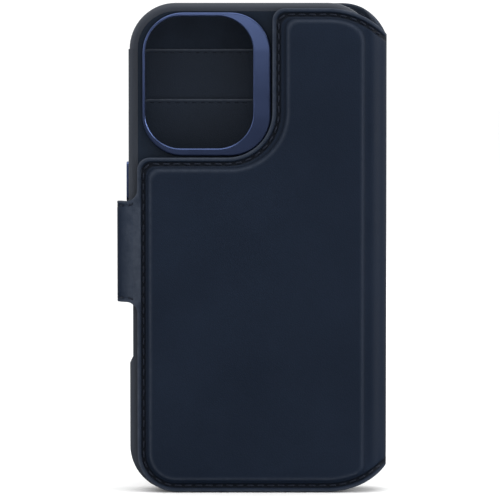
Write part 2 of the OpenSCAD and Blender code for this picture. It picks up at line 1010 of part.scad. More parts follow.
// Slot through a side wall with a wider pocket behind it for the button's flange
module button_hole(side, z, length) {
    wall_x = side < 0 ? -case_x : case_x - case_wall;
    pocket_d = flange_t + button_travel + 0.1;
    pocket_x = side < 0 ? -case_x + case_wall - pocket_d : case_x - case_wall - 1;
    translate([wall_x - 1, phone_y, 0])
        rotate([90, 0, 90])
            linear_extrude(case_wall + 2)
                stadium(0, z, length + 2 * button_gap, button_w + 2 * button_gap, true);
    translate([pocket_x, phone_y, 0])
        rotate([90, 0, 90])
            linear_extrude(pocket_d + 1)
                stadium(0, z, length + 2 * (flange_w + button_gap),
                        button_w + 2 * (flange_w + button_gap), true);
}

// Button cap with a flange that keeps it in its hole; side is -1 at the left, 1 at the right
module button(side, z, length, proud) {
    flange_x = case_x - case_wall + button_travel + 0.1;
    color([0.2, 0.27, 0.43])
    mirror([side < 0 ? 1 : 0, 0, 0]) {
        translate([flange_x, phone_y, 0])
            rotate([90, 0, 90])
                linear_extrude(flange_t - button_gap)
                    stadium(0, z, length + 2 * flange_w, button_w + 2 * flange_w, true);
        translate([flange_x, phone_y, 0])
            rotate([90, 0, 90])
                linear_extrude(case_x + proud - flange_x)
                    stadium(0, z, length, button_w, true);
    }
}

module power_button() {
    button(-1, power_z, power_l, power_proud);
}

module volume_up_button() {
    button(1, volume_up_z, volume_l, side_proud);
}

module volume_down_button() {
    button(1, volume_down_z, volume_l, side_proud);
}

module action_button() {
    button(1, action_z, action_l, side_proud);
}

// Rail on the upper left side, and the scoop with its slot below it
module grip_rail() {
    rail_z0 = scoop_z + scoop_l / 2 + 10;
    upright(rail_z0, case_h - case_corner_r)
        rounded(-case_x - rail_t, 0, case_y, screen_y, case_edge_r);
}

module scoop() {
    half = scoop_l / 2;
    run = scoop_t * 2;
    plate(-far, far)
        polygon([
            [-case_x - 1, scoop_z - half - run - 2],
            [-case_x + scoop_t, scoop_z - half],
            [-case_x + scoop_t, scoop_z + half],
            [-case_x - 1, scoop_z + half + run + 2]
        ]);
    translate([-case_x - 1, phone_y, 0])
        rotate([90, 0, 90])
            linear_extrude(case_wall + 2)
                stadium(0, scoop_z, scoop_l - 1, slot_d, true);
}

// Openings in the bottom wall: the port and a speaker slot on each side of it
module bottom_slots() {
    translate([0, phone_y, -1])
        linear_extrude(case_wall + 2) {
            stadium(0, 0, port_w, port_d, false);
            stadium(-speaker_x, 0, speaker_w, speaker_d, false);
            stadium(speaker_x, 0, speaker_w, speaker_d, false);
        }
}

module case_shell() {
    lip = lip_reach;
    color([0.2, 0.21, 0.25])
        difference() {
            union() {
                soft_plate(-case_x, case_x, 0, case_h, case_y, screen_y, case_corner_r, case_edge_r);
                grip_rail();
            }
            plate(inner_y, lip_y)
                rounded(-case_x + case_wall, case_x - case_wall,
                        case_wall, case_h - case_wall, pocket_corner_r);
            plate(lip_y - 0.01, screen_y + 1)
                rounded(-case_x + case_wall + lip, case_x - case_wall - lip,
                        case_wall + lip, case_h - case_wall - lip, pocket_corner_r - lip);
            plate(case_y - 1, inner_y + 1)
                window_outline(window_play);
            plate(case_y - 1, shell_y)
                case_leather_outline();
            plate(inner_y - case_lining_t, inner_y + 0.01)
                case_lining_outline();
            magnet_slots(shell_y - 0.01, shell_y + shell_magnet_t);
            button_hole(-1, power_z, power_l);
            button_hole(1, volume_up_z, volume_l);
            button_hole(1, volume_down_z, volume_l);
            button_hole(1, action_z, action_l);
            scoop();
            bottom_slots();
        }
}

module case_leather_outline() {
    m = case_leather_margin;
    rounded(-case_x + m, case_x - m, m, case_h - m, case_corner_r - m);
}

module case_leather() {
    color([0.1, 0.13, 0.17])
        plate(case_y, shell_y)
            difference() {
                case_leather_outline();
                ring_outline(0);
            }
}

module case_lining_outline() {
    m = case_wall + 2;
    difference() {
        rounded(-case_x + m, case_x - m, m, case_h - m, pocket_corner_r - 2);
        window_outline(1.2);
    }
}

module case_lining() {
    color([0.16, 0.17, 0.2])
        plate(inner_y - case_lining_t, inner_y)
            case_lining_outline();
}

module camera_ring() {
    color([0.25, 0.3, 0.48])
        difference() {
            union() {
                plate(ring_y + ring_step, shell_y)
                    ring_outline(0);
                plate(ring_y, ring_y + ring_step)
                    ring_outline(ring_step);
            }
            plate(ring_y - 1, shell_y + 1)
                window_outline(0);
            plate(ring_y - 1, ring_y + ring_step)
                window_outline(ring_step);
        }
}

module case_magnet_ring() {
    color([0.6, 0.6, 0.62])
        magnet_ring(shell_y, shell_y + shell_magnet_t);
}

module case_alignment_magnet() {
    color([0.6, 0.6, 0.62])
        alignment_magnet(shell_y, shell_y + shell_magnet_t);
}

back_leather();
back_padding();
back_board();
back_lining();
back_stitching();
wallet_magnet_ring();
wallet_alignment_magnet();
spine_leather();
spine_stiffener();
spine_lining();
cover_leather();
cover_board();
cover_lining();
cover_stitching();
latch_plate();
cash_pocket();
card_pocket_1();
card_pocket_2();
card_pocket_3();
strap_leather();
strap_lining();
strap_stitching();
tip_leather();
tip_lining();
tip_magnets();
tip_stitching();
case_shell();
case_leather();
case_lining();
camera_ring();
case_magnet_ring();
case_alignment_magnet();
power_button();
volume_up_button();
volume_down_button();
action_button();
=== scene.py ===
"""Looks of the phone wallet case: leather skins, suede linings, thread, the anodised ring and buttons."""

import math

import bmesh
import bpy
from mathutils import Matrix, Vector, geometry, noise


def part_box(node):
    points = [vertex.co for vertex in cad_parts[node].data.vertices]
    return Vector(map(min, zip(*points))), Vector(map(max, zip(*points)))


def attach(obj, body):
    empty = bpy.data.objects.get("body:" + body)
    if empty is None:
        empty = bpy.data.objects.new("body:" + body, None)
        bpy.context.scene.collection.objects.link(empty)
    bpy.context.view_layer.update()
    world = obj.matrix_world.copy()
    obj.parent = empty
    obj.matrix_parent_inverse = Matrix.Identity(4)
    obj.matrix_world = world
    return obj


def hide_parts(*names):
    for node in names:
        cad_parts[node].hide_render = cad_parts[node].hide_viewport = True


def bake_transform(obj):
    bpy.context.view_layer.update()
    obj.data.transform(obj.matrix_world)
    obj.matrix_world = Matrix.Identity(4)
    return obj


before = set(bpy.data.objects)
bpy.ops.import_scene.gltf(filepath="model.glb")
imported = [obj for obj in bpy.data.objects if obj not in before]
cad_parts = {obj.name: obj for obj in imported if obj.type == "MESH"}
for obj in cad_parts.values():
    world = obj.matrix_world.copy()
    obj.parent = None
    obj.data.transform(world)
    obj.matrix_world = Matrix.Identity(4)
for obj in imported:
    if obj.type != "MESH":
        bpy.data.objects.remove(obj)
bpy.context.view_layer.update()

# Sizes are in millimetres, and become metres where a mesh is made
MM = 0.001
SHARP = math.radians(50)


def corners(node):
    """Lowest and highest corner of a CAD node, in millimetres."""
    low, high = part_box(node)
    return low / MM, high / MM


# ---------- places taken from the frame ----------
case_hi = corners("case_shell")[1]
ring_lo, ring_hi = corners("camera_ring")
cover_lo, cover_hi = corners("cover_leather")
spine_hi = corners("spine_leather")[1]
strap_lo, strap_hi = corners("strap_leather")
tip_lo, tip_hi = corners("tip_leather")
magnet_lo, magnet_hi = corners("tip_magnets")
stitch_lo = corners("back_stitching")[0]

CASE_X = case_hi.x
BACK_Y = stitch_lo.y
FRONT_Y = cover_hi.y
MID_Y = (BACK_Y + FRONT_Y) / 2
SPINE_X = spine_hi.x
STRAP_X = strap_lo.x
STRAP_Z0, STRAP_Z1 = strap_lo.z, strap_hi.z
STRAP_Z = (STRAP_Z0 + STRAP_Z1) / 2
TIP_END = tip_hi.y

# ---------- sizes that repeat the CAD source ----------
LEATHER_T = 1.0
BOARD_T = 0.8
LINING_T = 0.8
TURNED_T = LEATHER_T + BOARD_T
PANEL_T = TURNED_T + LINING_T
STRAP_T = LEATHER_T + LINING_T
TURN_IN = 2.2
GROOVE_D = 1.95
PITCH = 3.2
STITCH_L = 2.3
THREAD_R = 0.25

# Back panel with its camera cut-out and its padded middle
PANEL_X0 = -CASE_X + 2.4
PANEL_Z0 = 0.3
PANEL_Z1 = case_hi.z - 1.7
PANEL_R = 12.0
CUT_X = ring_hi.x + 0.5
CUT_Z = ring_lo.z - 0.5
CUT_R = 3.8
CUT_INNER_R = 14.0
PAD_INSET = 3.5
PAD_EXTRA = 0.9
PAD_R = 3.0
# Spine, and the curve in which the panels' ends fall towards it
SPINE_R = 7.0
SPINE_CX = SPINE_X - SPINE_R
PAD_X1 = SPINE_CX - 0.3
SCALLOP_RUN = 18.5
SCALLOP_DROP = 7.8
SCALLOP_X = SPINE_X - SCALLOP_RUN
SCALLOP_R = (SCALLOP_RUN**2 + SCALLOP_DROP**2) / (2 * SCALLOP_DROP)
# Front cover, strap and tip
COVER_X0 = cover_lo.x
COVER_Z0, COVER_Z1 = cover_lo.z, cover_hi.z
COVER_R = 14.3
STRAP_TAPER = 1.1
STRAP_R = 5.0
STRAP_CX = STRAP_X + STRAP_R
STRAP_FILLET = 3.5
TIP_FOLD_Y = tip_lo.y + STRAP_T / 2
TIP_TAPER = 1.6
TIP_R = 6.0
# Camera ring: its corners, its window and the widths of its band; then the case's leather and microfibre
RING_R = 12.4
RING_DOME = 0.9
WINDOW_R = 11.0
BAND_LEFT, BAND_TOP, BAND_RIGHT, BAND_BOTTOM = 0.8, 1.2, 5.4, 2.3
FLOOR_PLAY = 1.2
CASE_BACK_R = 11.7
CASE_FLOOR_R = 10.35

# Length along the outer surface from x = 0 to the middle of the spine
SPINE_ARC = SPINE_R * math.pi / 2
U_END = SPINE_CX + SPINE_ARC + MID_Y - BACK_Y - SPINE_R
# Where the stitch groove has run out and where the stitches stop on their way round the spine, and their depth
GROOVE_END = SPINE_CX + 8.5
GROOVE_FADE = 3.0
THREAD_END = SPINE_CX + 6.5
THREAD_D = 0.34
STRAP_ARC = STRAP_R * math.pi / 2


# ---------- folding flat shapes into place ----------


def back_fold(u, z, depth):
    """Point of the back panel and half the spine: u runs along the outer surface, depth goes in from it."""
    if u <= SPINE_CX:
        return u, BACK_Y + depth, z
    cy = BACK_Y + SPINE_R
    if u <= SPINE_CX + SPINE_ARC:
        a = (u - SPINE_CX) / SPINE_R
        return SPINE_CX + (SPINE_R - depth) * math.sin(a), cy - (SPINE_R - depth) * math.cos(a), z
    return SPINE_X - depth, cy + u - SPINE_CX - SPINE_ARC, z


def front_fold(u, z, depth):
    """The same for the front cover, which is the back panel's mirror image about the middle."""
    x, y, z = back_fold(u, z, depth)
    return x, 2 * MID_Y - y, z


def strap_fold(s, z, depth):
    """Point of the strap: s runs from x = 0 to the left, round the corner and forward."""
    s0 = -STRAP_CX
    if s <= s0:
        return -s, BACK_Y + depth, z
    cy = BACK_Y + STRAP_R
    if s <= s0 + STRAP_ARC:
        a = (s - s0) / STRAP_R
        return STRAP_CX - (STRAP_R - depth) * math.sin(a), cy - (STRAP_R - depth) * math.cos(a), z
    return STRAP_X + depth, cy + s - s0 - STRAP_ARC, z


def strap_s(y):
    """Length along the strap's outer surface to a point on its straight part."""
    return -STRAP_CX + STRAP_ARC + y - BACK_Y - STRAP_R


def x_on_fold(u, centre, radius):
    """Projected x of a point u along a surface that turns a corner, and how fast x still grows there."""
    if u <= centre:
        return u, 1.0
    a = min((u - centre) / radius, math.pi / 2)
    return centre + radius * math.sin(a), math.cos(a)


# ---------- outlines ----------


def arc(cx, cz, r, a0, a1, count):
    """Points on an arc, angles in degrees."""
    angles = [math.radians(a0 + (a1 - a0) * i / count) for i in range(count + 1)]
    return [(cx + r * math.cos(a), cz + r * math.sin(a)) for a in angles]


def straight(a, b, step=3.0):
    """Points from a to b, both left out, about a step apart."""
    count = max(1, round(math.dist(a, b) / step))
    return [(a[0] + (b[0] - a[0]) * i / count, a[1] + (b[1] - a[1]) * i / count) for i in range(1, count)]


def falling_end(d, edge, sign, start, radius, u_to=U_END, step=0.9):
    """End of a panel that falls away from start towards the spine, d inside it, from start to u_to."""
    points = []
    count = round((u_to - start) / step)
    for i in range(count + 1):
        u = start + (u_to - start) * i / count
        x, growth = x_on_fold(u, SPINE_CX, SPINE_R)
        run = x - start
        left = math.sqrt(radius**2 - run**2)
        slope = run / left * growth
        across = math.hypot(1, slope)
        points.append((u - d * slope / across, edge + sign * (radius - left + d / across)))
    points[-1] = (u_to, points[-1][1])
    return points


def panel_line(d, extra=0.0, u_to=U_END):
    """Back panel's edge, d inside it, from the spine's lower end round to its upper end."""
    left, shelf, top = PANEL_X0 + d, CUT_Z - d, PANEL_Z1 - d
    side = CUT_X + d + extra
    small = max(CUT_R - d, PAD_R) if d > 1 else CUT_R - d
    inner = CUT_INNER_R + d
    lower = falling_end(d, PANEL_Z0, 1, SCALLOP_X, SCALLOP_R, u_to)[::-1]
    corner = arc(PANEL_X0 + PANEL_R, PANEL_Z0 + PANEL_R, PANEL_R - d, 270, 180, 14)
    shelf_corner = arc(left + small, shelf - small, small, 180, 90, 8)
    inner_corner = arc(side - inner, shelf + inner, inner, 270, 360, 18)
    top_corner = arc(side + small, top - small, small, 180, 90, 8)
    upper = falling_end(d, PANEL_Z1, -1, SCALLOP_X, SCALLOP_R, u_to)
    pieces = [lower, corner, shelf_corner, inner_corner, top_corner, upper]
    return joined(pieces)


def cover_centre(inset):
    """Centre of a cover corner that meets the panel's edge, this much further out, at the spine."""
    drop = SCALLOP_DROP - inset
    return SPINE_X - math.sqrt(COVER_R**2 - (COVER_R - drop) ** 2)


def cover_line(d, u_to=U_END):
    """Front cover's edge, d inside it, from the spine's lower end round to its upper end."""
    lower = falling_end(d, COVER_Z0, 1, cover_centre(COVER_Z0 - PANEL_Z0), COVER_R, u_to)[::-1]
    corner = arc(COVER_X0 + COVER_R, COVER_Z0 + COVER_R, COVER_R - d, 270, 180, 14)
    top_corner = arc(COVER_X0 + COVER_R, COVER_Z1 - COVER_R, COVER_R - d, 180, 90, 14)
    upper = falling_end(d, COVER_Z1, -1, cover_centre(PANEL_Z1 - COVER_Z1), COVER_R, u_to)
    return joined([lower, corner, top_corner, upper])


def joined(pieces):
    """One line through several, with points along the straights between them."""
    line = list(pieces[0])
    for piece in pieces[1:]:
        line += straight(line[-1], piece[0])
        line += piece
    return line


def pad_line(k):
    """Edge of the padded middle, k inside it, closed along the spine with two rounded corners."""
    line = panel_line(PAD_INSET + k, PAD_EXTRA, PAD_X1 - k)
    lower, upper = line[0], line[-1]
    r_low, r_high = 2.6, 5.0
    kept = [p for p in line if not (p[0] > PAD_X1 - k - (r_high if p[1] > CUT_Z else r_low))]
    start, end = kept[0], kept[-1]
    low_bend = bend(lower[0], lower[1] + r_low, lower, start, 8)
    high_bend = bend(end[0], end[1], upper, (upper[0], upper[1] - r_high), 8)
    line = kept + high_bend[1:]
    line += straight(line[-1], low_bend[0])
    return line + low_bend[:-1]


def bend(x, z, control, to, count):
    """Points on a smooth bend from (x, z) past a control point."""
    out = []
    for i in range(count + 1):
        t = i / count
        a, b, c = (1 - t) ** 2, 2 * t * (1 - t), t * t
        out.append((a * x + b * control[0] + c * to[0], a * z + b * control[1] + c * to[1]))
    return out


def inside(line, p):
    """True if p is inside a closed line."""
    found = False
    for (ax, az), (bx, bz) in zip(line, line[1:] + line[:1]):
        if (az > p[1]) != (bz > p[1]) and p[0] < ax + (p[1] - az) / (bz - az) * (bx - ax):
            found = not found
    return found


def grid(x0, x1, z0, z1, dx, dz, line):
    """Evenly spaced points that are inside a closed line."""
    nx, nz = round((x1 - x0) / dx), round((z1 - z0) / dz)
    columns = [x0 + (x1 - x0) * i / nx for i in range(nx + 1)]
    rows = [z0 + (z1 - z0) * j / nz for j in range(nz + 1)]
    return [(x, z) for x in columns for z in rows if inside(line, (x, z))]


# ---------- meshes ----------


def make(name, points, faces):
    """A closed mesh from points in millimetres."""
    mesh = bpy.data.meshes.new(name)
    mesh.from_pydata([Vector(p) * MM for p in points], [], faces)
    b = bmesh.new()
    b.from_mesh(mesh)
    bmesh.ops.recalc_face_normals(b, faces=b.faces)
    b.to_mesh(mesh)
    b.free()
    mesh.shade_smooth()
    mesh.set_sharp_from_angle(angle=SHARP)
    piece = bpy.data.objects.new(name, mesh)
    bpy.context.scene.collection.objects.link(piece)
    return piece


class Sheet:
    """A flat cut-out with an outer and an inner depth at every point, folded into place at the end."""

    def __init__(self):
        self.points, self.values, self.edges = [], [], []
        self.outline = 0
        self.hole = range(0)

    def end_outline(self):
        """Closes the outer edge, which is everything added so far."""
        self.outline = len(self.points)
        self.edges.append((self.outline - 1, 0))

    def carry_on(self):
        """Ties the last point to the first one of what is added next."""
        self.edges.append((len(self.points) - 1, len(self.points)))

    def spine_seam(self, outer, inner):
        """Closes the outer edge with a straight line along the middle of the spine."""
        seam = straight(self.points[-1], self.points[0])
        self.carry_on()
        self.line(seam, outer, inner)
        self.end_outline()

    def outside(self, at):
        """True for a triangle that bridges a hollow in the outer edge or spans the hole."""
        if all(i in self.hole for i in at):
            return True
        if max(at) >= self.outline:
            return False
        points = [self.points[i] for i in at]
        return not inside(self.points[: self.outline], [sum(p[k] for p in points) / 3 for k in (0, 1)])

    def line(self, points, outer, inner, wear=0.0, closed=False):
        first = len(self.points)
        self.dots(points, outer, inner, wear)
        self.edges += [(i, i + 1) for i in range(first, len(self.points) - 1)]
        if closed:
            self.edges.append((len(self.points) - 1, first))

    def dots(self, points, outer, inner, wear=0.0):
        self.points += points
        at = [(f if callable(f) else lambda u, z, f=f: f) for f in (outer, wear)]
        self.values += [(at[0](*p), inner, at[1](*p)) for p in points]

    def solid(self, name, fold):
        found = geometry.delaunay_2d_cdt([Vector(p) for p in self.points], self.edges, [], 1, 1e-4, True)
        flat, origin = found[0], [min(o) if o else len(self.points) for o in found[3]]
        faces = [f for f in found[2] if not self.outside([origin[i] for i in f])]
        values = [self.values[o] if o < len(self.points) else (0.0, LEATHER_T, 0.0) for o in origin]
        count = len(flat)
        points = [fold(p.x, p.y, v[0]) for p, v in zip(flat, values)]
        points += [fold(p.x, p.y, v[1]) for p, v in zip(flat, values)]
        uses = {}
        for f in faces:
            for a, b in zip(f, list(f[1:]) + [f[0]]):
                uses[(a, b)] = uses.get((a, b), 0) + 1
        solid = [tuple(f) for f in faces] + [tuple(i + count for i in reversed(f)) for f in faces]
        solid += [(b, a, a + count, b + count) for a, b in uses if (b, a) not in uses]
        piece = make(name, points, solid)
        wear = piece.data.attributes.new("wear", "FLOAT", "POINT")
        wear.data.foreach_set("value", [v[2] for v in values] * 2)
        return piece


def rounding(radius, count=4):
    """Distances in from an edge and the depths of the round surface there."""
    steps = [radius * (1 - math.cos(math.pi / 2 * i / count)) for i in range(count + 1)]
    return [(d, radius - math.sqrt(max(0.0, radius**2 - (radius - d) ** 2))) for d in steps]


def thread(name, runs, fold, depth, dip=0.2, radius=THREAD_R, length=STITCH_L, pitch=PITCH):
    """Stitches along lines: each is a short round thread whose ends dive into the leather."""
    points, faces = [], []
    rings, sides = 7, 8
    for run in runs:
        spots = along(run, pitch)
        for number, ((u, z), (tu, tz)) in enumerate(spots):
            base = len(points)
            slant = 0.06 * math.sin(number * 2.4)
            for i in range(rings):
                t = i / (rings - 1) * 2 - 1
                r = radius * (1 - abs(t) ** 4) ** 0.5 + 0.02
                for j in range(sides):
                    a = 2 * math.pi * j / sides
                    off = r * math.cos(a) + slant * t
                    down = depth + dip * t * t * t * t - 0.85 * r * math.sin(a)
                    ahead = t * length / 2
                    points.append(fold(u + tu * ahead - tz * off, z + tz * ahead + tu * off, down))
            for i in range(rings - 1):
                for j in range(sides):
                    k = (j + 1) % sides
                    corner = base + i * sides
                    faces.append((corner + j, corner + k, corner + sides + k, corner + sides + j))
            faces.append(tuple(base + j for j in reversed(range(sides))))
            faces.append(tuple(base + (rings - 1) * sides + j for j in range(sides)))
    return make(name, points, faces)


def along(run, pitch):
    """Evenly spaced spots on a line, with the line's direction at each."""
    lengths = [math.dist(a, b) for a, b in zip(run, run[1:])]
    total = sum(lengths)
    count = max(1, round(total / pitch))
    spots, reached, i = [], 0.0, 0
    for n in range(count):
        target = (n + 0.5) * total / count
        while i < len(lengths) - 1 and reached + lengths[i] < target:
            reached += lengths[i]
            i += 1
        (ax, az), (bx, bz) = run[i], run[i + 1]
        t = (target - reached) / lengths[i]
        spot = (ax + (bx - ax) * t, az + (bz - az) * t)
        spots.append((spot, ((bx - ax) / lengths[i], (bz - az) / lengths[i])))
    return spots


def loft(name, rings, closed=False):
    """Closed mesh through rings of points: the last ring joins the first, or both get a face."""
    n, m = len(rings[0]), len(rings)
    points = [p for ring in rings for p in ring]
    faces = []
    for i in range(m if closed else m - 1):
        a, b = i * n, (i + 1) % m * n
        faces += [(a + j, a + (j + 1) % n, b + (j + 1) % n, b + j) for j in range(n)]
    if not closed:
        faces += [tuple(range(n)), tuple(reversed(range((m - 1) * n, m * n)))]
    return make(name, points, faces)


def rounded_line(x0, x1, z0, z1, r, count=12):
    """Closed line round a rectangle with rounded corners."""
    line = arc(x1 - r, z0 + r, r, -90, 0, count)
    line += arc(x1 - r, z1 - r, r, 0, 90, count)
    line += arc(x0 + r, z1 - r, r, 90, 180, count)
    line += arc(x0 + r, z0 + r, r, 180, 270, count)
    return line


# ---------- materials ----------


def nodes_of(name):
    """A new material, its node tree and its shader."""
    material = bpy.data.materials.new(name)
    material.use_nodes = True
    tree = material.node_tree
    shader = tree.nodes["Principled BSDF"]
    return material, tree, shader


def add(tree, kind, links=None, **settings):
    """A node with its input values, which may be sockets of other nodes."""
    node = tree.nodes.new(kind)
    for key, value in settings.items():
        setattr(node, key, value)
    for key, value in (links or {}).items():
        if isinstance(value, bpy.types.NodeSocket):
            tree.links.new(value, node.inputs[key])
        else:
            node.inputs[key].default_value = value
    return node


def settle(shader, values):
    """Sets plain values straight on a shader's inputs."""
    for key, value in values.items():
        shader.inputs[key].default_value = value


def noisy(tree, place, scale, detail=2.0, roughness=0.5, output="Fac"):
    """Value or colour of a noise, with about that many spots to a metre."""
    links = {"Vector": place, "Scale": scale, "Detail": detail, "Roughness": roughness}
    return add(tree, "ShaderNodeTexNoise", links).outputs[output]


def glossy(tree, shader, factor, low, high):
    """Roughness that goes from low to high over the middle of a noise."""
    links = {"Value": factor, "From Min": 0.3, "From Max": 0.7, "To Min": low, "To Max": high}
    tree.links.new(add(tree, "ShaderNodeMapRange", links).outputs[0], shader.inputs["Roughness"])


def ramp(tree, factor, low, high, start=0.0, end=1.0):
    """Colour or value that goes from low to high as the factor goes from start to end."""
    node = add(tree, "ShaderNodeValToRGB", {"Fac": factor})
    points = node.color_ramp.elements
    points[0].position, points[1].position = start, end
    points[0].color, points[1].color = colour(low), colour(high)
    return node.outputs["Color"]


def colour(c):
    return (c, c, c, 1.0) if isinstance(c, (int, float)) else (*c, 1.0)


def mixed(tree, factor, a, b, blend="MIX"):
    """Two colours mixed by a factor."""
    node = add(tree, "ShaderNodeMix", data_type="RGBA", blend_type=blend)
    for socket, value in ((node.inputs[0], factor), (node.inputs[6], a), (node.inputs[7], b)):
        if isinstance(value, bpy.types.NodeSocket):
            tree.links.new(value, socket)
        else:
            socket.default_value = value if isinstance(value, (int, float)) else colour(value)
    return node.outputs[2]


def bump(tree, height, strength, distance, normal=None):
    links = {"Height": height, "Strength": strength, "Distance": distance}
    if normal is not None:
        links["Normal"] = normal
    return add(tree, "ShaderNodeBump", links).outputs["Normal"]


def leather(name, base, wear_and_highlight_tint, grain=0.75, rough=0.5, wrinkle=0.0, shine=0.15):
    """Fine-grained dyed leather: creased cells, pores and cloudy dye; a per-point value paints shade where it is
    below zero, and wear with a painted highlight where it is above zero.
    """
    material, tree, shader = nodes_of(name)
    place = add(tree, "ShaderNodeTexCoord").outputs["Object"]
    cloud = noisy(tree, place, 38.0, 4.0, 0.55)
    warp = noisy(tree, place, 900.0, output="Color")
    pushed = add(
        tree, "ShaderNodeVectorMath", {0: warp, 1: (0.0004, 0.0004, 0.0004)}, operation="MULTIPLY"
    )
    warped = add(tree, "ShaderNodeVectorMath", {0: place, 1: pushed.outputs[0]}, operation="ADD")
    cells = add(
        tree, "ShaderNodeTexVoronoi", {"Vector": warped.outputs[0], "Scale": 1000.0 / grain, "Randomness": 0.95},
        feature="DISTANCE_TO_EDGE",
    )
    creases = ramp(tree, cells.outputs["Distance"], 0.0, 1.0, 0.0, 0.22)
    pores = noisy(tree, place, 5200.0, 3.0, 0.6)
    tint = mixed(tree, ramp(tree, cloud, 0.0, 1.0, 0.3, 0.7), base, [c * 1.22 for c in base])
    tint = mixed(tree, mul(tree, creases, 0.14, invert=True), tint, [c * 0.55 for c in base])
    # Per-point value: below zero it is painted shade in grooves and at the pad's foot; above zero it is wear and
    # painted highlight on edges, the pad's ridge and the strap's root
    wear = add(tree, "ShaderNodeAttribute", attribute_name="wear", attribute_type="GEOMETRY")
    # Painted shade: darkens the leather where the value is below zero
    shade = add(
        tree, "ShaderNodeMath", {0: wear.outputs["Fac"], 1: -1.0}, operation="MULTIPLY", use_clamp=True
    )
    tint = mixed(tree, shade.outputs[0], tint, [c * 0.3 for c in base])
    scuff = noisy(tree, place, 420.0, 5.0, 0.65)
    # Wear and painted highlight: lightens the leather where the value is above zero, broken up by scuffs
    rub_and_highlight = add(
        tree, "ShaderNodeMath", {0: wear.outputs["Fac"], 1: ramp(tree, scuff, 0.45, 1.0, 0.3, 0.75)},
        operation="MULTIPLY",
    )
    tree.links.new(mixed(tree, rub_and_highlight.outputs[0], tint, wear_and_highlight_tint), shader.inputs["Base Color"])
    glossy(tree, shader, cloud, rough - 0.05, rough + 0.07)
    normal = bump(tree, creases, 0.28, 0.00006)
    normal = bump(tree, pores, 0.22, 0.00005, normal)
    if wrinkle:
        folds = add(tree, "ShaderNodeMapping", {"Vector": place, "Scale": (900.0, 900.0, 110.0)})
        lines = noisy(tree, folds.outputs[0], 0.9, 3.0)
        normal = bump(tree, lines, wrinkle, 0.0004, normal)
    tree.links.new(normal, shader.inputs["Normal"])
    settle(shader, {"Specular IOR Level": shine})
    return material


def mul(tree, value, by, invert=False):
    """A value times a number, or one less the value times it."""
    if invert:
        value = add(tree, "ShaderNodeMath", {0: 1.0, 1: value}, operation="SUBTRACT").outputs[0]
    return add(tree, "ShaderNodeMath", {0: value, 1: by}, operation="MULTIPLY").outputs[0]


def suede(name, base, fibre=0.12, nap=0.5):
    """Short brushed pile: soft patches where it lies one way or another, and fine fibres."""
    material, tree, shader = nodes_of(name)
    place = add(tree, "ShaderNodeTexCoord").outputs["Object"]
    patches = noisy(tree, place, 70.0, 5.0, 0.6)
    stretched = add(tree, "ShaderNodeMapping", {"Vector": place, "Scale": (1.0, 1.0, 0.35)})
    fibres = noisy(tree, stretched.outputs[0], 500.0 / fibre, 4.0, 0.7)
    tint = mixed(tree, ramp(tree, patches, 0.0, 1.0, 0.35, 0.65), base, [c * 1.5 for c in base])
    tint = mixed(tree, mul(tree, fibres, nap), tint, [c * 0.4 for c in base])
    tree.links.new(tint, shader.inputs["Base Color"])
    tree.links.new(bump(tree, fibres, 0.5, 0.00012), shader.inputs["Normal"])
    pile = {"Roughness": 0.95, "Specular IOR Level": 0.15, "Sheen Weight": 0.12, "Sheen Roughness": 0.4}
    settle(shader, pile)
    return material


def cotton(name, base):
    """Waxed sewing thread: plies that wind round it."""
    material, tree, shader = nodes_of(name)
    place = add(tree, "ShaderNodeTexCoord").outputs["Object"]
    turned = add(tree, "ShaderNodeMapping", {"Vector": place, "Rotation": (0.6, 0.5, 0.8)})
    waves = {"Vector": turned.outputs[0], "Scale": 900.0, "Distortion": 0.6, "Detail": 1.0}
    plies = add(tree, "ShaderNodeTexWave", waves)
    tint = mixed(tree, plies.outputs["Fac"], [c * 0.6 for c in base], base)
    tree.links.new(tint, shader.inputs["Base Color"])
    tree.links.new(bump(tree, plies.outputs["Fac"], 0.5, 0.00008), shader.inputs["Normal"])
    settle(shader, {"Roughness": 0.65, "Specular IOR Level": 0.25, "Sheen Weight": 0.05})
    return material


def moulded(name, base, rough=0.5):
    """Soft-touch moulded plastic: fine spark-eroded texture, faint flow clouds, handling marks."""
    material, tree, shader = nodes_of(name)
    place = add(tree, "ShaderNodeTexCoord").outputs["Object"]
    texture = noisy(tree, place, 6500.0)
    cloud = noisy(tree, place, 55.0, 4.0)
    tint = mixed(tree, ramp(tree, cloud, 0.0, 1.0, 0.35, 0.65), [c * 0.92 for c in base], base)
    tree.links.new(tint, shader.inputs["Base Color"])
    glossy(tree, shader, cloud, rough - 0.04, rough + 0.06)
    tree.links.new(bump(tree, texture, 0.16, 0.00005), shader.inputs["Normal"])
    settle(shader, {"Specular IOR Level": 0.4})
    return material


def anodised(name, base, rough=0.3):
    """Bead-blasted anodised aluminium: a fine satin sparkle and slight changes in the dye."""
    material, tree, shader = nodes_of(name)
    place = add(tree, "ShaderNodeTexCoord").outputs["Object"]
    blast = noisy(tree, place, 7000.0, 2.0, 0.6)
    dye = noisy(tree, place, 60.0, 3.0)
    tint = mixed(tree, ramp(tree, dye, 0.0, 1.0, 0.3, 0.7), [c * 0.9 for c in base], base)
    tree.links.new(tint, shader.inputs["Base Color"])
    glossy(tree, shader, dye, rough - 0.03, rough + 0.04)
    tree.links.new(bump(tree, blast, 0.10, 0.00004), shader.inputs["Normal"])
    settle(shader, {"Metallic": 0.97})
    return material


def pressed(name, base, fleck, rough=0.8, metal=0.0):
    """Board, foam or nickel-plated magnet: flecked and slightly uneven."""
    material, tree, shader = nodes_of(name)
    place = add(tree, "ShaderNodeTexCoord").outputs["Object"]
    flecks = noisy(tree, place, 1400.0, 5.0, 0.7)
    tint = mixed(tree, ramp(tree, flecks, 0.0, 1.0, 0.4, 0.65), base, fleck)
    tree.links.new(tint, shader.inputs["Base Color"])
    tree.links.new(bump(tree, flecks, 0.2, 0.00006), shader.inputs["Normal"])
    settle(shader, {"Roughness": rough, "Metallic": metal})
    return material


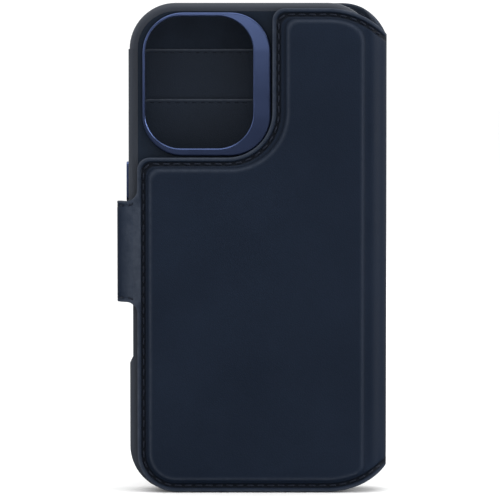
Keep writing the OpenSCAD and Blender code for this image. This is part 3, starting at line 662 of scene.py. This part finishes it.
NAVY = (0.0034, 0.0086, 0.0205)
# Lighter colour for worn edges and for painted highlights
WEAR_AND_HIGHLIGHT = (0.070, 0.082, 0.105)
LEATHER = leather("navy_leather", NAVY, WEAR_AND_HIGHLIGHT)
STRAP_LEATHER = leather("strap_leather_finish", NAVY, WEAR_AND_HIGHLIGHT, rough=0.55, wrinkle=0.4, shine=0.1)
POCKET_LEATHER = leather("pocket_leather_finish", (0.010, 0.016, 0.028), WEAR_AND_HIGHLIGHT, grain=0.6)
CASE_LEATHER = leather("case_leather_finish", (0.005, 0.0105, 0.021), WEAR_AND_HIGHLIGHT, grain=0.6)
SUEDE = suede("navy_suede", (0.008, 0.012, 0.020))
MICROFIBRE = suede("grey_microfibre", (0.030, 0.034, 0.044), fibre=0.08, nap=0.35)
THREAD = cotton("navy_thread", (0.005, 0.010, 0.024))
BUMPER = moulded("soft_touch_bumper", (0.020, 0.026, 0.039))
BLUE = anodised("blue_anodised", (0.092, 0.130, 0.275))
BOARD = pressed("grey_board", (0.20, 0.18, 0.15), (0.11, 0.10, 0.08))
STIFFENER = pressed("stiffener_sheet", (0.04, 0.04, 0.045), (0.025, 0.025, 0.028), rough=0.6)
MAGNET = pressed("nickel_magnet", (0.45, 0.44, 0.42), (0.36, 0.35, 0.34), rough=0.3, metal=1.0)
STEEL = pressed("steel_plate", (0.40, 0.41, 0.43), (0.30, 0.31, 0.33), rough=0.35, metal=1.0)


def dress(piece, material):
    """Gives a new piece its material."""
    piece.data.materials.clear()
    piece.data.materials.append(material)
    return piece


# ---------- leather skins ----------

# Radius of a leather edge, and the wear and painted highlight at the steps of its rounding
EDGE_R = 0.35
EDGE_WEAR_AND_HIGHLIGHT = (0.25, 0.35, 0.55, 0.6, 0.4)
INLAY_R = 0.15
# How much stronger the pad's painted shade and painted highlight are away from the spine
RIDGE_PAINTED_LIGHT_GAIN = 2.4
PAD_CROWN = 0.07
# Border with its stitch groove: distance in from the edge, depth, and wear with painted light (above zero wear
# and painted highlight near the edge, below zero painted shade in the groove)
RIM_PROFILE = [
    (0.85, 0.0, 0.15), (1.02, 0.04, 0.1), (1.16, 0.2, -0.3), (1.34, 0.42, -0.7), (1.6, 0.52, -0.8),
    (2.25, 0.52, -0.8), (2.55, 0.42, -0.7), (2.8, 0.2, -0.3), (2.98, 0.03, 0.0),
]
# Rise to the padded middle: distance in from the pad's edge, depth, and painted light (below zero painted shade
# at its foot, above zero painted highlight on its ridge)
PAD_PROFILE = [
    (-0.32, 0.02, -0.2), (-0.12, -0.10, 0.0), (0.1, -0.34, 0.03), (0.35, -0.58, 0.1), (0.6, -0.71, 0.11),
    (0.9, -0.78, 0.05), (1.4, -0.80, 0.0),
]
# Crease between the pad and the spine: distance past the pad, depth
VALLEY = [(0.75, 0.10), (1.25, 0.17), (1.9, 0.10), (2.7, 0.0)]


def fading(depth):
    """Depth of the stitch groove, which runs out on its way round the spine."""
    return lambda u, z: depth * min(1.0, max(0.0, (GROOVE_END - u) / GROOVE_FADE))


def tab_parts(d):
    """Lower and upper hollow corner where the panel's edge leaves for the strap, d inside the edge."""
    r = STRAP_FILLET + d
    low_c = (PANEL_X0 - STRAP_FILLET, STRAP_Z0 - STRAP_FILLET)
    high_c = (PANEL_X0 - STRAP_FILLET, STRAP_Z1 + STRAP_FILLET)
    a = math.degrees(math.acos((STRAP_CX - low_c[0]) / r))
    return arc(*low_c, r, 0, a, 6), arc(*high_c, r, -a, 0, 6)


def tab_wear_and_light(wear):
    """Wear and painted light of the panel's rim, which takes the strap root's painted highlight beside the
    strap; the groove keeps its painted shade.
    """
    def at(u, z):
        return max(wear, ROOT_HIGHLIGHT) if u < PANEL_X0 + 2 and STRAP_Z0 < z < STRAP_Z1 else wear

    return at if wear >= 0 else wear


def tabbed_line(d):
    """Panel's edge in two runs, below and above the strap."""
    low, high = tab_parts(d)
    line = panel_line(d)
    start = next(i for i, p in enumerate(line) if p[0] < 0 and p[1] > low[0][1] - 1)
    return line[:start] + low, high + [p for p in line[start + 1 :] if p[1] > high[-1][1] + 1]


def ridge_painted_light(wear):
    """Painted shade and painted highlight of the pad's rise, both stronger where it isn't beside the spine."""
    return lambda x, z: wear * (RIDGE_PAINTED_LIGHT_GAIN if x < PAD_X1 - 2 else 1.0)


def pad_height(x, z):
    """Crown of the padded middle, with the slight unevenness of leather over foam."""
    across = (x - PANEL_X0) / (PAD_X1 - PANEL_X0) * 2 - 1
    crown = PAD_CROWN * (1 - across**2)
    return -0.80 - crown - 0.025 * noise.noise(Vector((x * 0.06, z * 0.06, 3.1)))


def back_skin():
    sheet = Sheet()
    for i, (d, depth) in enumerate(rounding(EDGE_R)):
        first, last = tabbed_line(d)
        wear = EDGE_WEAR_AND_HIGHLIGHT[i]
        if i == 0:
            seam = straight(first[-1], last[0])
            sheet.line(first + seam + last, depth, TURNED_T - depth, wear)
            sheet.spine_seam(0.0, LEATHER_T)
            # The seam across the strap's root takes the root's painted highlight
            for n in range(len(first), len(first) + len(seam)):
                sheet.values[n] = (0.0, TURNED_T, ROOT_HIGHLIGHT)
        else:
            sheet.line(first, depth, TURNED_T - depth, wear)
            sheet.line(last, depth, TURNED_T - depth, wear)
    for d, depth, wear in RIM_PROFILE:
        sheet.line(panel_line(d), fading(depth), TURNED_T if d < TURN_IN else LEATHER_T, tab_wear_and_light(wear))
    for k, depth, wear in PAD_PROFILE:
        sheet.line(pad_line(k), depth, LEATHER_T, ridge_painted_light(wear), closed=True)
    middle = pad_line(2.6)
    sheet.dots(grid(PANEL_X0, PAD_X1, PANEL_Z0, PANEL_Z1, 3.5, 3.5, middle), pad_height, LEATHER_T)
    rim = panel_line(3.3)
    limits = [p for p in rim if p[0] > SCALLOP_X]
    columns = [PAD_X1 + v for v, _ in VALLEY] + [PAD_X1 + 2.7 + 0.8 * i for i in range(1, 13)]
    for n, u in enumerate(columns):
        depth = VALLEY[n][1] if n < len(VALLEY) else 0.0
        near = sorted(limits, key=lambda p: abs(p[0] - u))[:6]
        low = min(near, key=lambda p: p[1])[1] + 0.6
        high = max(near, key=lambda p: p[1])[1] - 0.6
        sheet.line([(u, low), *straight((u, low), (u, high), 4.0), (u, high)], depth, LEATHER_T)
    return sheet.solid("back_skin", back_fold)


def front_skin():
    sheet = Sheet()
    for i, (d, depth) in enumerate(rounding(EDGE_R)):
        sheet.line(cover_line(d), depth, TURNED_T - depth, EDGE_WEAR_AND_HIGHLIGHT[i])
        if i == 0:
            sheet.spine_seam(0.0, LEATHER_T)
    for d, depth, wear in RIM_PROFILE:
        sheet.line(cover_line(d), fading(depth), TURNED_T if d < TURN_IN else LEATHER_T, wear)
    middle = cover_line(3.8)
    sheet.dots(
        grid(COVER_X0, SPINE_CX, COVER_Z0, COVER_Z1, 3.5, 3.5, middle),
        lambda x, z: -0.03 - 0.03 * noise.noise(Vector((x * 0.05, z * 0.05, 7.7))), LEATHER_T,
    )
    sheet.dots(grid(SPINE_CX, U_END - 0.8, COVER_Z0, COVER_Z1, 0.8, 4.0, middle), 0.0, LEATHER_T)
    return sheet.solid("front_skin", front_fold)


def lining(name, edge_line, fold):
    """Suede under a panel and half the spine."""
    sheet = Sheet()
    inset = 0.4
    for i, (d, depth) in enumerate(rounding(0.3, 3)):
        sheet.line(edge_line(inset + d), TURNED_T, PANEL_T - depth)
        if i == 0:
            sheet.spine_seam(TURNED_T, PANEL_T)
    for d, dent in ((1.4, 0.0), (1.95, 0.1), (2.5, 0.0)):
        sheet.line(edge_line(d), TURNED_T, PANEL_T - dent)
    middle = edge_line(3.4)
    sheet.dots(grid(-CASE_X, SPINE_CX, PANEL_Z0, COVER_Z1, 4.0, 4.0, middle), TURNED_T, PANEL_T)
    sheet.dots(grid(SPINE_CX, U_END - 0.8, PANEL_Z0, COVER_Z1, 0.8, 4.0, middle), TURNED_T, PANEL_T)
    return sheet.solid(name, fold)


# ---------- strap ----------

STRAP_EDGE_R = 0.3
STRAP_GROOVE = [(0.8, 0.0), (1.0, 0.12), (1.35, 0.26), (1.7, 0.12), (1.9, 0.0)]
S_SEAM = -STRAP_CX
S_MID = strap_s(3.4)
S_FOLD = strap_s(TIP_FOLD_Y)
S_END = strap_s(TIP_END)


def strap_half(s, d):
    """Half width of the strap at s, d inside its edge, from its hollow corners to where it has narrowed."""
    half = (STRAP_Z1 - STRAP_Z0) / 2
    x = x_on_fold(s, -STRAP_CX, STRAP_R)[0]
    run = PANEL_X0 - STRAP_FILLET + x
    if run >= 0:
        forward = min(1.0, max(0.0, (s + STRAP_CX - STRAP_ARC) / (S_FOLD + STRAP_CX - STRAP_ARC)))
        return half - STRAP_TAPER * forward - d
    r = STRAP_FILLET + d
    return half + STRAP_FILLET - math.sqrt(r * r - run * run)


# The root's painted highlight, how far past the seam it goes, and over what length it fades
ROOT_HIGHLIGHT = 0.42
HIGHLIGHT_RUN = 5.0
HIGHLIGHT_FADE = 4.0


def strap_highlight(s, z):
    """Painted highlight on the strap where it leaves the panel, fading further round its corner."""
    return ROOT_HIGHLIGHT * min(1.0, max(0.0, (S_SEAM + HIGHLIGHT_RUN - s) / HIGHLIGHT_FADE))


def strap_lines(d, s0, s1):
    """Lower and upper edge of the strap, d inside them."""
    count = round((s1 - s0) / 0.7)
    spots = [s0 + (s1 - s0) * i / count for i in range(count + 1)]
    return [[(s, STRAP_Z + side * strap_half(s, d)) for s in spots] for side in (-1, 1)]


def tip_line(d):
    """Edge of the tip from the middle of the strap, d inside it, round its end and back."""
    slope = math.atan(TIP_TAPER / (S_END - S_FOLD))
    half = strap_half(S_FOLD, 0)
    cx = S_END - TIP_R
    cz = half - (cx - S_FOLD) * math.tan(slope) - TIP_R / math.cos(slope)
    r = TIP_R - d
    turn = math.degrees(slope)
    start = (S_MID, STRAP_Z - strap_half(S_MID, d))
    knee = (S_FOLD, STRAP_Z - half + d)
    lower = arc(cx, STRAP_Z - cz, r, -90 + turn, 0, 8)
    upper = arc(cx, STRAP_Z + cz, r, 0, 90 - turn, 8)
    line = [start, *straight(start, knee, 0.7), knee, *straight(knee, lower[0], 0.9), *lower]
    line += [*straight(lower[-1], upper[0], 1.5), *upper]
    mirror = [(s, 2 * STRAP_Z - z) for s, z in reversed(line[: line.index(lower[0])])]
    return line + mirror


def strap_profile(grooved):
    """Distances in from the strap's edge, depths there, and whether they belong to its rounding."""
    profile = [(d, depth, True) for d, depth in rounding(STRAP_EDGE_R, 3)]
    return profile + [(d, depth, False) for d, depth in STRAP_GROOVE if grooved]


def strap_skin(name, outer, thickness, grooved):
    """Strap's leather or lining from the seam beside the panel to its middle."""
    sheet = Sheet()
    inner = outer + thickness
    for i, (d, depth, edge) in enumerate(strap_profile(grooved)):
        low, high = strap_lines(d, S_SEAM, S_MID)
        top = outer + (depth if outer == 0 else 0)
        bottom = inner - (depth if edge and outer > 0 else 0)
        # Edges get wear and painted highlight; the flat gets the root's painted highlight
        wear = 0.5 if edge else strap_highlight
        if i == 0:
            sheet.line(low, top, bottom, wear)
            sheet.carry_on()
            sheet.line(straight(low[-1], high[-1], 2.0), outer, inner)
            sheet.carry_on()
            sheet.line(high[::-1], top, bottom, wear)
            sheet.carry_on()
            sheet.line(straight(high[0], low[0], 2.0), outer, inner, strap_highlight)
            sheet.end_outline()
        else:
            sheet.line(low, top, bottom, wear)
            sheet.line(high, top, bottom, wear)
    count = round((S_MID - S_SEAM) / 0.7)
    for n in range(1, count):
        s = S_SEAM + (S_MID - S_SEAM) * n / count
        half = strap_half(s, 2.8)
        dots = straight((s, STRAP_Z - half - 1), (s, STRAP_Z + half + 1), 2.0)
        sheet.dots(dots, outer, inner, strap_highlight)
    return sheet.solid(name, strap_fold)


def tip_skin(name, outer, thickness, grooved):
    """Strap's other half and the tip, with its two magnets showing faintly through the leather."""
    sheet = Sheet()
    inner = outer + thickness
    for i, (d, depth, edge) in enumerate(strap_profile(grooved)):
        line = tip_line(d)
        top = outer + (depth if outer == 0 else 0)
        bottom = inner - (depth if edge and outer > 0 else 0)
        # The tip's edges get wear and painted highlight
        sheet.line(line, top, bottom, 0.6 if edge else 0.0)
        if i == 0:
            sheet.carry_on()
            sheet.line(straight(line[-1], line[0], 2.0), outer, inner)
            sheet.end_outline()
    middle = tip_line(2.8)
    magnet_r = (magnet_hi.y - magnet_lo.y) / 2
    centre_s = strap_s((magnet_hi.y + magnet_lo.y) / 2)
    offset = (magnet_hi.z - magnet_lo.z) / 2 - magnet_r
    spots = [(centre_s, STRAP_Z + side * offset) for side in (-1, 1)]
    dots = grid(S_MID, S_END, STRAP_Z0, STRAP_Z1, 0.8, 2.0, middle)
    dots = [p for p in dots if p[0] > S_MID + 0.3 and min(math.dist(p, c) for c in spots) > magnet_r + 0.9]
    sheet.dots(dots, outer, inner)
    if grooved:
        for c in spots:
            for r, rise in ((magnet_r + 0.5, 0.0), (magnet_r + 0.1, -0.05), (magnet_r - 0.4, -0.1)):
                sheet.line(arc(*c, r, 0, 330, 22), outer + rise, inner, closed=True)
            sheet.dots([c, *arc(*c, magnet_r / 2, 0, 300, 5)], outer - 0.11, inner)
    return sheet.solid(name, strap_fold)


# ---------- metal, buttons and pockets ----------


def camera_ring():
    """Anodised ring: satin face with a slight dome, rounded outside, bright bevel round its window."""
    x0, x1, z0, z1 = ring_lo.x, ring_hi.x, ring_lo.z, ring_hi.z
    top, base = ring_lo.y, ring_hi.y
    left, up, right, down = BAND_LEFT, BAND_TOP, BAND_RIGHT, BAND_BOTTOM
    zc, half = (z0 + z1) / 2, (z1 - z0) / 2

    def outside(d, y):
        return domed(rounded_line(x0 + d, x1 - d, z0 + d, z1 - d, RING_R - d, 16), y)

    def window(d, y):
        line = rounded_line(x0 + left - d, x1 - right + d, z0 + down - d, z1 - up + d, WINDOW_R + d, 16)
        return domed(line, y)

    def domed(line, y):
        return [(x, min(y + dome(z), base), z) for x, z in line]

    def dome(z):
        return RING_DOME * ((z - zc) / half) ** 2

    rings = [outside(0, base), outside(0, top + 0.5)]
    rings += [outside(0.5 - 0.5 * math.cos(a), top + 0.5 - 0.5 * math.sin(a)) for a in (0.4, 0.8, 1.2, 1.5)]
    rings += [outside(0.62, top), outside(0.72, top), window(0.40, top)]
    rings += [window(0.30, top), window(0.26, top + 0.02), window(0.04, top + 0.24), window(0.0, top + 0.30)]
    rings += [window(0.0, top + 0.5), window(0.0, base)]
    return loft("ring_blue", rings, closed=True)


def inlay(name, node, outline, opening, fold):
    """Thin sheet let flush into the case, with rounded edges, between an outline and an opening or none."""
    low, high = corners(node)
    thick = high.y - low.y
    sheet = Sheet()
    for i, (d, depth) in enumerate(rounding(INLAY_R, 3)):
        sheet.line(outline(d), depth, thick, closed=i > 0)
        if i == 0:
            sheet.end_outline()
        if opening:
            sheet.line(opening(d), depth, thick, closed=True)
            sheet.hole = sheet.hole or range(sheet.outline, len(sheet.points))
    dots = grid(low.x, high.x, low.z, high.z, 5.0, 5.0, outline(1.0))
    sheet.dots([p for p in dots if not (opening and inside(opening(1.0), p))], 0.0, thick)
    return sheet.solid(name, fold)


def case_back_line(d):
    """Edge of the leather on the case's back, d inside it."""
    low, high = corners("case_leather")
    return rounded_line(low.x + d, high.x - d, low.z + d, high.z - d, CASE_BACK_R - d, 10)


def case_ring_line(d):
    """Edge of the opening for the camera ring in that leather, d outside it."""
    return rounded_line(ring_lo.x - d, ring_hi.x + d, ring_lo.z - d, ring_hi.z + d, RING_R + d, 14)


def case_floor_line(d):
    """Edge of the microfibre on the case's floor, d inside it; the camera window takes a corner off it."""
    low, high = corners("case_lining")
    x0, x1, z0, z1 = low.x + d, high.x - d, low.z + d, high.z - d
    r, window_r = CASE_FLOOR_R - d, WINDOW_R + d
    left = ring_lo.x + BAND_LEFT - FLOOR_PLAY + WINDOW_R
    right = ring_hi.x - BAND_RIGHT + FLOOR_PLAY - WINDOW_R
    bottom = ring_lo.z + BAND_BOTTOM - FLOOR_PLAY + WINDOW_R
    top = ring_hi.z - BAND_TOP + FLOOR_PLAY - WINDOW_R
    leaves = math.degrees(math.asin((z1 - top) / window_r))
    meets = 180 + math.degrees(math.acos((left - x0) / window_r))
    line = joined([
        arc(x0 + r, z0 + r, r, 180, 270, 10),
        arc(x1 - r, z0 + r, r, 270, 360, 10),
        arc(x1 - r, z1 - r, r, 0, 90, 10),
        arc(right, top, window_r, leaves, 0, 8),
        arc(right, bottom, window_r, 360, 270, 12),
        arc(left, bottom, window_r, 270, meets, 8),
    ])
    return line + straight(line[-1], line[0])


BUTTON_EDGE_R = 0.4


def button_cap(name, node, side):
    """Metal button with a pillowed face and rounded edge, and the flange that keeps it in its hole."""
    low, high = corners(node)
    face, root = (high.x, low.x) if side > 0 else (low.x, high.x)
    cz, flange_w, flange_t = (low.z + high.z) / 2, 0.6, 0.38
    cy = (low.y + high.y) / 2
    half_z, half_y = (high.z - low.z) / 2 - flange_w, (high.y - low.y) / 2 - flange_w

    def ring(x, grow):
        w, h = half_y + grow, half_z + grow
        return [(x, y, z) for y, z in rounded_line(cy - w, cy + w, cz - h, cz + h, w - 0.001, 10)]

    rings = [ring(root, flange_w), ring(root + side * flange_t, flange_w), ring(root + side * flange_t, 0.0)]
    for a in (0.0, 0.35, 0.7, 1.05, 1.35):
        rings.append(ring(face - side * BUTTON_EDGE_R * (1 - math.sin(a)), -BUTTON_EDGE_R * (1 - math.cos(a))))
    rings += [ring(face, -0.55)]
    return loft(name, rings)


def pocket_sheet(name, node, lift):
    """Pocket of thin leather with rounded edges, whose mouth stands a little open."""
    low, high = corners(node)
    x0, x1, z0, z1 = low.x, high.x, low.z, high.z
    thick = high.y - low.y
    sheet = Sheet()

    def outer(x, z):
        near = max(0.0, 1 - (x1 - x) / 6)
        across = max(0.0, 1 - ((z - (z0 + z1) / 2) / ((z1 - z0) / 2)) ** 2)
        return -lift * near * near * across

    def edge(d):
        return rounded_line(x0 + d, x1 - d, z0 + d, z1 - d, 2.0, 5)

    for d, depth in rounding(thick * 0.45, 3):
        line = edge(d)
        sheet.line(line, lambda x, z, k=depth: outer(x, z) + k, thick, 0.7, closed=True)
    for d, dent in ((0.7, 0.0), (1.1, 0.06), (1.6, 0.0)):
        sheet.line(edge(d), lambda x, z, k=dent: outer(x, z) + k, thick, closed=True)
    sheet.dots(grid(x0, x1, z0, z1, 2.5, 3.5, edge(2)), outer, thick)
    return sheet.solid(name, lambda x, z, depth: (x, low.y + depth, z))


def pocket_runs():
    """Stitch lines that hold each pocket along its three closed sides."""
    runs = []
    for node in POCKETS:
        low, high = corners(node)
        x0, x1, z0, z1 = low.x + 1.1, high.x - 0.8, low.z + 1.1, high.z - 1.1
        runs.append((low.y, [(x1, z0), (x0, z0), (x0, z1), (x1, z1)]))
    return runs


POCKETS = ("cash_pocket", "card_pocket_1", "card_pocket_2", "card_pocket_3")


# ---------- the pieces ----------


def spine_bend(piece, front, lead=0.0):
    """Bakes a skin's placement into its mesh; the bend across the spine's fold is not made, so lead, the share
    meant to stay with the panel, has no effect.
    """
    y = (lambda v: 2 * MID_Y - v) if front else (lambda v: v)
    start = Vector((SPINE_CX + 2.2, y(BACK_Y + 0.3), 0)) * MM
    end = Vector((SPINE_X - 0.3, y(BACK_Y + SPINE_R - 2.2), 0)) * MM
    start = start.lerp(end, lead)
    if front:
        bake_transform(piece)
    else:
        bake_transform(piece)


def make_folio():
    back = dress(back_skin(), LEATHER)
    spine_bend(back, False)
    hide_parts("back_leather", "back_padding", "spine_leather")
    front = dress(front_skin(), LEATHER)
    spine_bend(front, True)
    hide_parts("cover_leather", "spine_leather")
    sides = (
        ("back", "back", False, panel_line, back_fold, 0.3),
        ("front", "cover", True, cover_line, front_fold, 0.0),
    )
    for side, node, is_front, line, fold, lead in sides:
        suede_skin = dress(lining(side + "_suede", line, fold), SUEDE)
        spine_bend(suede_skin, is_front, lead)
        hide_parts(node + "_lining", "spine_lining")
    for side, node, is_front, line, fold, _ in sides:
        row = [line(GROOVE_D, u_to=THREAD_END)]
        sewn = thread(side + "_thread", row, fold, THREAD_D)
        spine_bend(dress(sewn, THREAD), is_front)
        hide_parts(node + "_stitching")
        under = thread(side + "_thread_inside", row, fold, PANEL_T - 0.1, dip=-0.25, radius=0.2)
        spine_bend(dress(under, THREAD), is_front)
    board = spine_board()
    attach(dress(board, STIFFENER), "spine")
    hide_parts("spine_stiffener")


def spine_board():
    """Stiffener between the spine's two folds, inside the leather."""
    y0, y1 = BACK_Y + SPINE_R - 0.6, 2 * MID_Y - BACK_Y - SPINE_R + 0.6
    z0, z1 = PANEL_Z0 + SCALLOP_DROP + TURN_IN, PANEL_Z1 - SCALLOP_DROP - TURN_IN
    inner, outer = LEATHER_T + 0.02, TURNED_T - 0.02
    rings = []
    for x, d in ((inner, 0.1), (inner + 0.1, 0.0), (outer - 0.1, 0.0), (outer, 0.1)):
        line = rounded_line(y0 + d, y1 - d, z0 + d, z1 - d, 0.8, 4)
        rings.append([(SPINE_X - x, y, z) for y, z in line])
    return loft("spine_board", rings)


def root_bend(piece):
    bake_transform(piece)


def tip_bend(piece):
    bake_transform(piece)


def make_strap():
    inset = STRAP_GROOVE[2][0]
    parts = (
        ("strap", strap_skin, root_bend, strap_lines(inset, S_SEAM - 0.6, S_MID)),
        ("tip", tip_skin, tip_bend, [tip_line(inset)]),
    )
    for part, skin, bending, _ in parts:
        leather_skin = dress(skin(part + "_skin", 0.0, LEATHER_T, True), STRAP_LEATHER)
        bending(leather_skin)
        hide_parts(part + "_leather")
        suede_skin = dress(skin(part + "_suede", LEATHER_T, LINING_T, False), SUEDE)
        bending(suede_skin)
        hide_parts(part + "_lining")
    for part, _, bending, runs in parts:
        sewn = thread(part + "_thread", runs, strap_fold, 0.12, radius=0.2, pitch=3.0, length=2.1)
        bending(dress(sewn, THREAD))
        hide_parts(part + "_stitching")


BUTTON_SIDES = {"power_button": -1, "volume_up_button": 1, "volume_down_button": 1, "action_button": 1}


def make_case():
    ring = dress(camera_ring(), BLUE)
    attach(ring, "inner_case")
    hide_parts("camera_ring")
    back_y, floor_y = corners("case_leather")[0].y, corners("case_lining")[1].y
    back = inlay(
        "case_back", "case_leather", case_back_line, case_ring_line, lambda x, z, depth: (x, back_y + depth, z)
    )
    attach(dress(back, CASE_LEATHER), "inner_case")
    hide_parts("case_leather")
    floor = inlay(
        "case_floor", "case_lining", case_floor_line, None, lambda x, z, depth: (x, floor_y - depth, z)
    )
    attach(dress(floor, MICROFIBRE), "inner_case")
    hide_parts("case_lining")
    for name, side in BUTTON_SIDES.items():
        cap = dress(button_cap(name + "_cap", name, side), BLUE)
        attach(cap, name)
        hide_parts(name)


def make_pockets():
    for n, node in enumerate(POCKETS):
        sheet = pocket_sheet(node + "_sheet", node, 0.0 if n == 0 else 0.12)
        piece = dress(sheet, POCKET_LEATHER)
        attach(piece, "front_cover")
        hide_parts(node)
    for n, (y, run) in enumerate(pocket_runs()):
        sewn = thread(
            POCKETS[n] + "_thread", [run], lambda x, z, depth, y=y: (x, y + depth, z), 0.02,
            radius=0.14, length=1.7, pitch=2.6,
        )
        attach(dress(sewn, THREAD), "front_cover")


KEPT = {
    "case_shell": BUMPER,
    "back_board": BOARD, "cover_board": BOARD, "latch_plate": STEEL,
    "wallet_magnet_ring": MAGNET, "wallet_alignment_magnet": MAGNET,
    "case_magnet_ring": MAGNET, "case_alignment_magnet": MAGNET, "tip_magnets": MAGNET,
}


def finish_kept_nodes():
    """Gives every CAD node that stays in sight its material."""
    for node, material in KEPT.items():
        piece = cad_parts[node]
        piece.data.materials.clear()
        piece.data.materials.append(material)


make_folio()
make_strap()
make_case()
make_pockets()
finish_kept_nodes()


# ---------- studio ----------


# Strength of the white all round, and of the studio's dark side in reflections
WHITE = 1.15
ROOM = 0.03
# Diffuse colour of the floor, and its colour in reflections
FLOOR = (0.88, 0.08)


def white_floor():
    mesh = bpy.data.meshes.new("floor")
    far = 6.0
    mesh.from_pydata([(-far, -far, 0), (far, -far, 0), (far, far, 0), (-far, far, 0)], [], [(0, 1, 2, 3)])
    floor = bpy.data.objects.new("floor", mesh)
    bpy.context.scene.collection.objects.link(floor)
    material, tree, shader = nodes_of("studio_floor")
    path = add(tree, "ShaderNodeLightPath")
    white, dark = ([c] * 3 for c in FLOOR)
    tree.links.new(mixed(tree, path.outputs["Is Glossy Ray"], white, dark), shader.inputs["Base Color"])
    settle(shader, {"Roughness": 0.9, "Specular IOR Level": 0.0})
    mesh.materials.append(material)


# Name, place, width, height and power of each lamp
LAMPS = (
    ("left_box", (-1.10, -0.40, 0.35), 0.35, 1.0, 1.5),
    ("right_box", (1.10, -0.40, 0.35), 0.35, 1.0, 8),
    ("camera_box", (0.0, -2.2, 0.62), 0.9, 0.6, 3),
    ("top_box", (0.0, -0.25, 1.1), 1.4, 0.8, 5),
    ("front_box", (0.5, 1.1, 0.7), 0.9, 0.9, 2),
)


def softbox(name, place, aim, width, height, power):
    light = bpy.data.lights.new(name, "AREA")
    light.shape = "RECTANGLE"
    light.size, light.size_y, light.energy = width, height, power
    lamp = bpy.data.objects.new(name, light)
    lamp.location = place
    lamp.rotation_euler = (Vector(aim) - Vector(place)).to_track_quat("-Z", "Y").to_euler()
    lamp.visible_camera = False
    bpy.context.scene.collection.objects.link(lamp)


def studio_world():
    """White light from all round; reflections see a studio that is dark on the camera's side."""
    world = bpy.data.worlds.new("studio")
    world.use_nodes = True
    tree = world.node_tree
    tree.nodes.clear()
    path = add(tree, "ShaderNodeLightPath")
    white = add(tree, "ShaderNodeBackground", {"Color": (1, 1, 1, 1), "Strength": WHITE})
    towards = add(tree, "ShaderNodeSeparateXYZ", {0: add(tree, "ShaderNodeTexCoord").outputs["Generated"]})
    share = {"Value": towards.outputs["Y"], "From Min": -0.8, "From Max": 0.2, "To Min": ROOM}
    behind = add(tree, "ShaderNodeMapRange", share)
    dim = add(tree, "ShaderNodeBackground", {"Color": (0.95, 0.97, 1, 1), "Strength": behind.outputs[0]})
    both = add(
        tree, "ShaderNodeMixShader", {0: path.outputs["Is Glossy Ray"], 1: white.outputs[0], 2: dim.outputs[0]}
    )
    out = add(tree, "ShaderNodeOutputWorld")
    tree.links.new(both.outputs[0], out.inputs[0])
    bpy.context.scene.world = world


white_floor()
studio_world()
middle = Vector((0, 0, case_hi.z / 2)) * MM
for lamp_name, place, width, height, power in LAMPS:
    softbox(lamp_name, place, middle, width, height, power)


def studio_camera():
    """Long lens at the back panel's height, level but for a few degrees."""
    data = bpy.data.cameras.new("camera")
    data.sensor_width = 36.0
    data.lens = 279.4
    data.clip_start, data.clip_end = 0.05, 50.0
    camera = bpy.data.objects.new("camera", data)
    elevation = math.radians(3.2)
    aim = Vector((-0.6, BACK_Y, 75.45)) * MM
    distance = 1.2
    back = Vector((0, -math.cos(elevation), math.sin(elevation)))
    camera.location = aim + back * distance
    camera.rotation_euler = (-back).to_track_quat("-Z", "Y").to_euler()
    bpy.context.scene.collection.objects.link(camera)
    bpy.context.scene.camera = camera


studio_camera()
bpy.context.scene.view_settings.view_transform = "Standard"
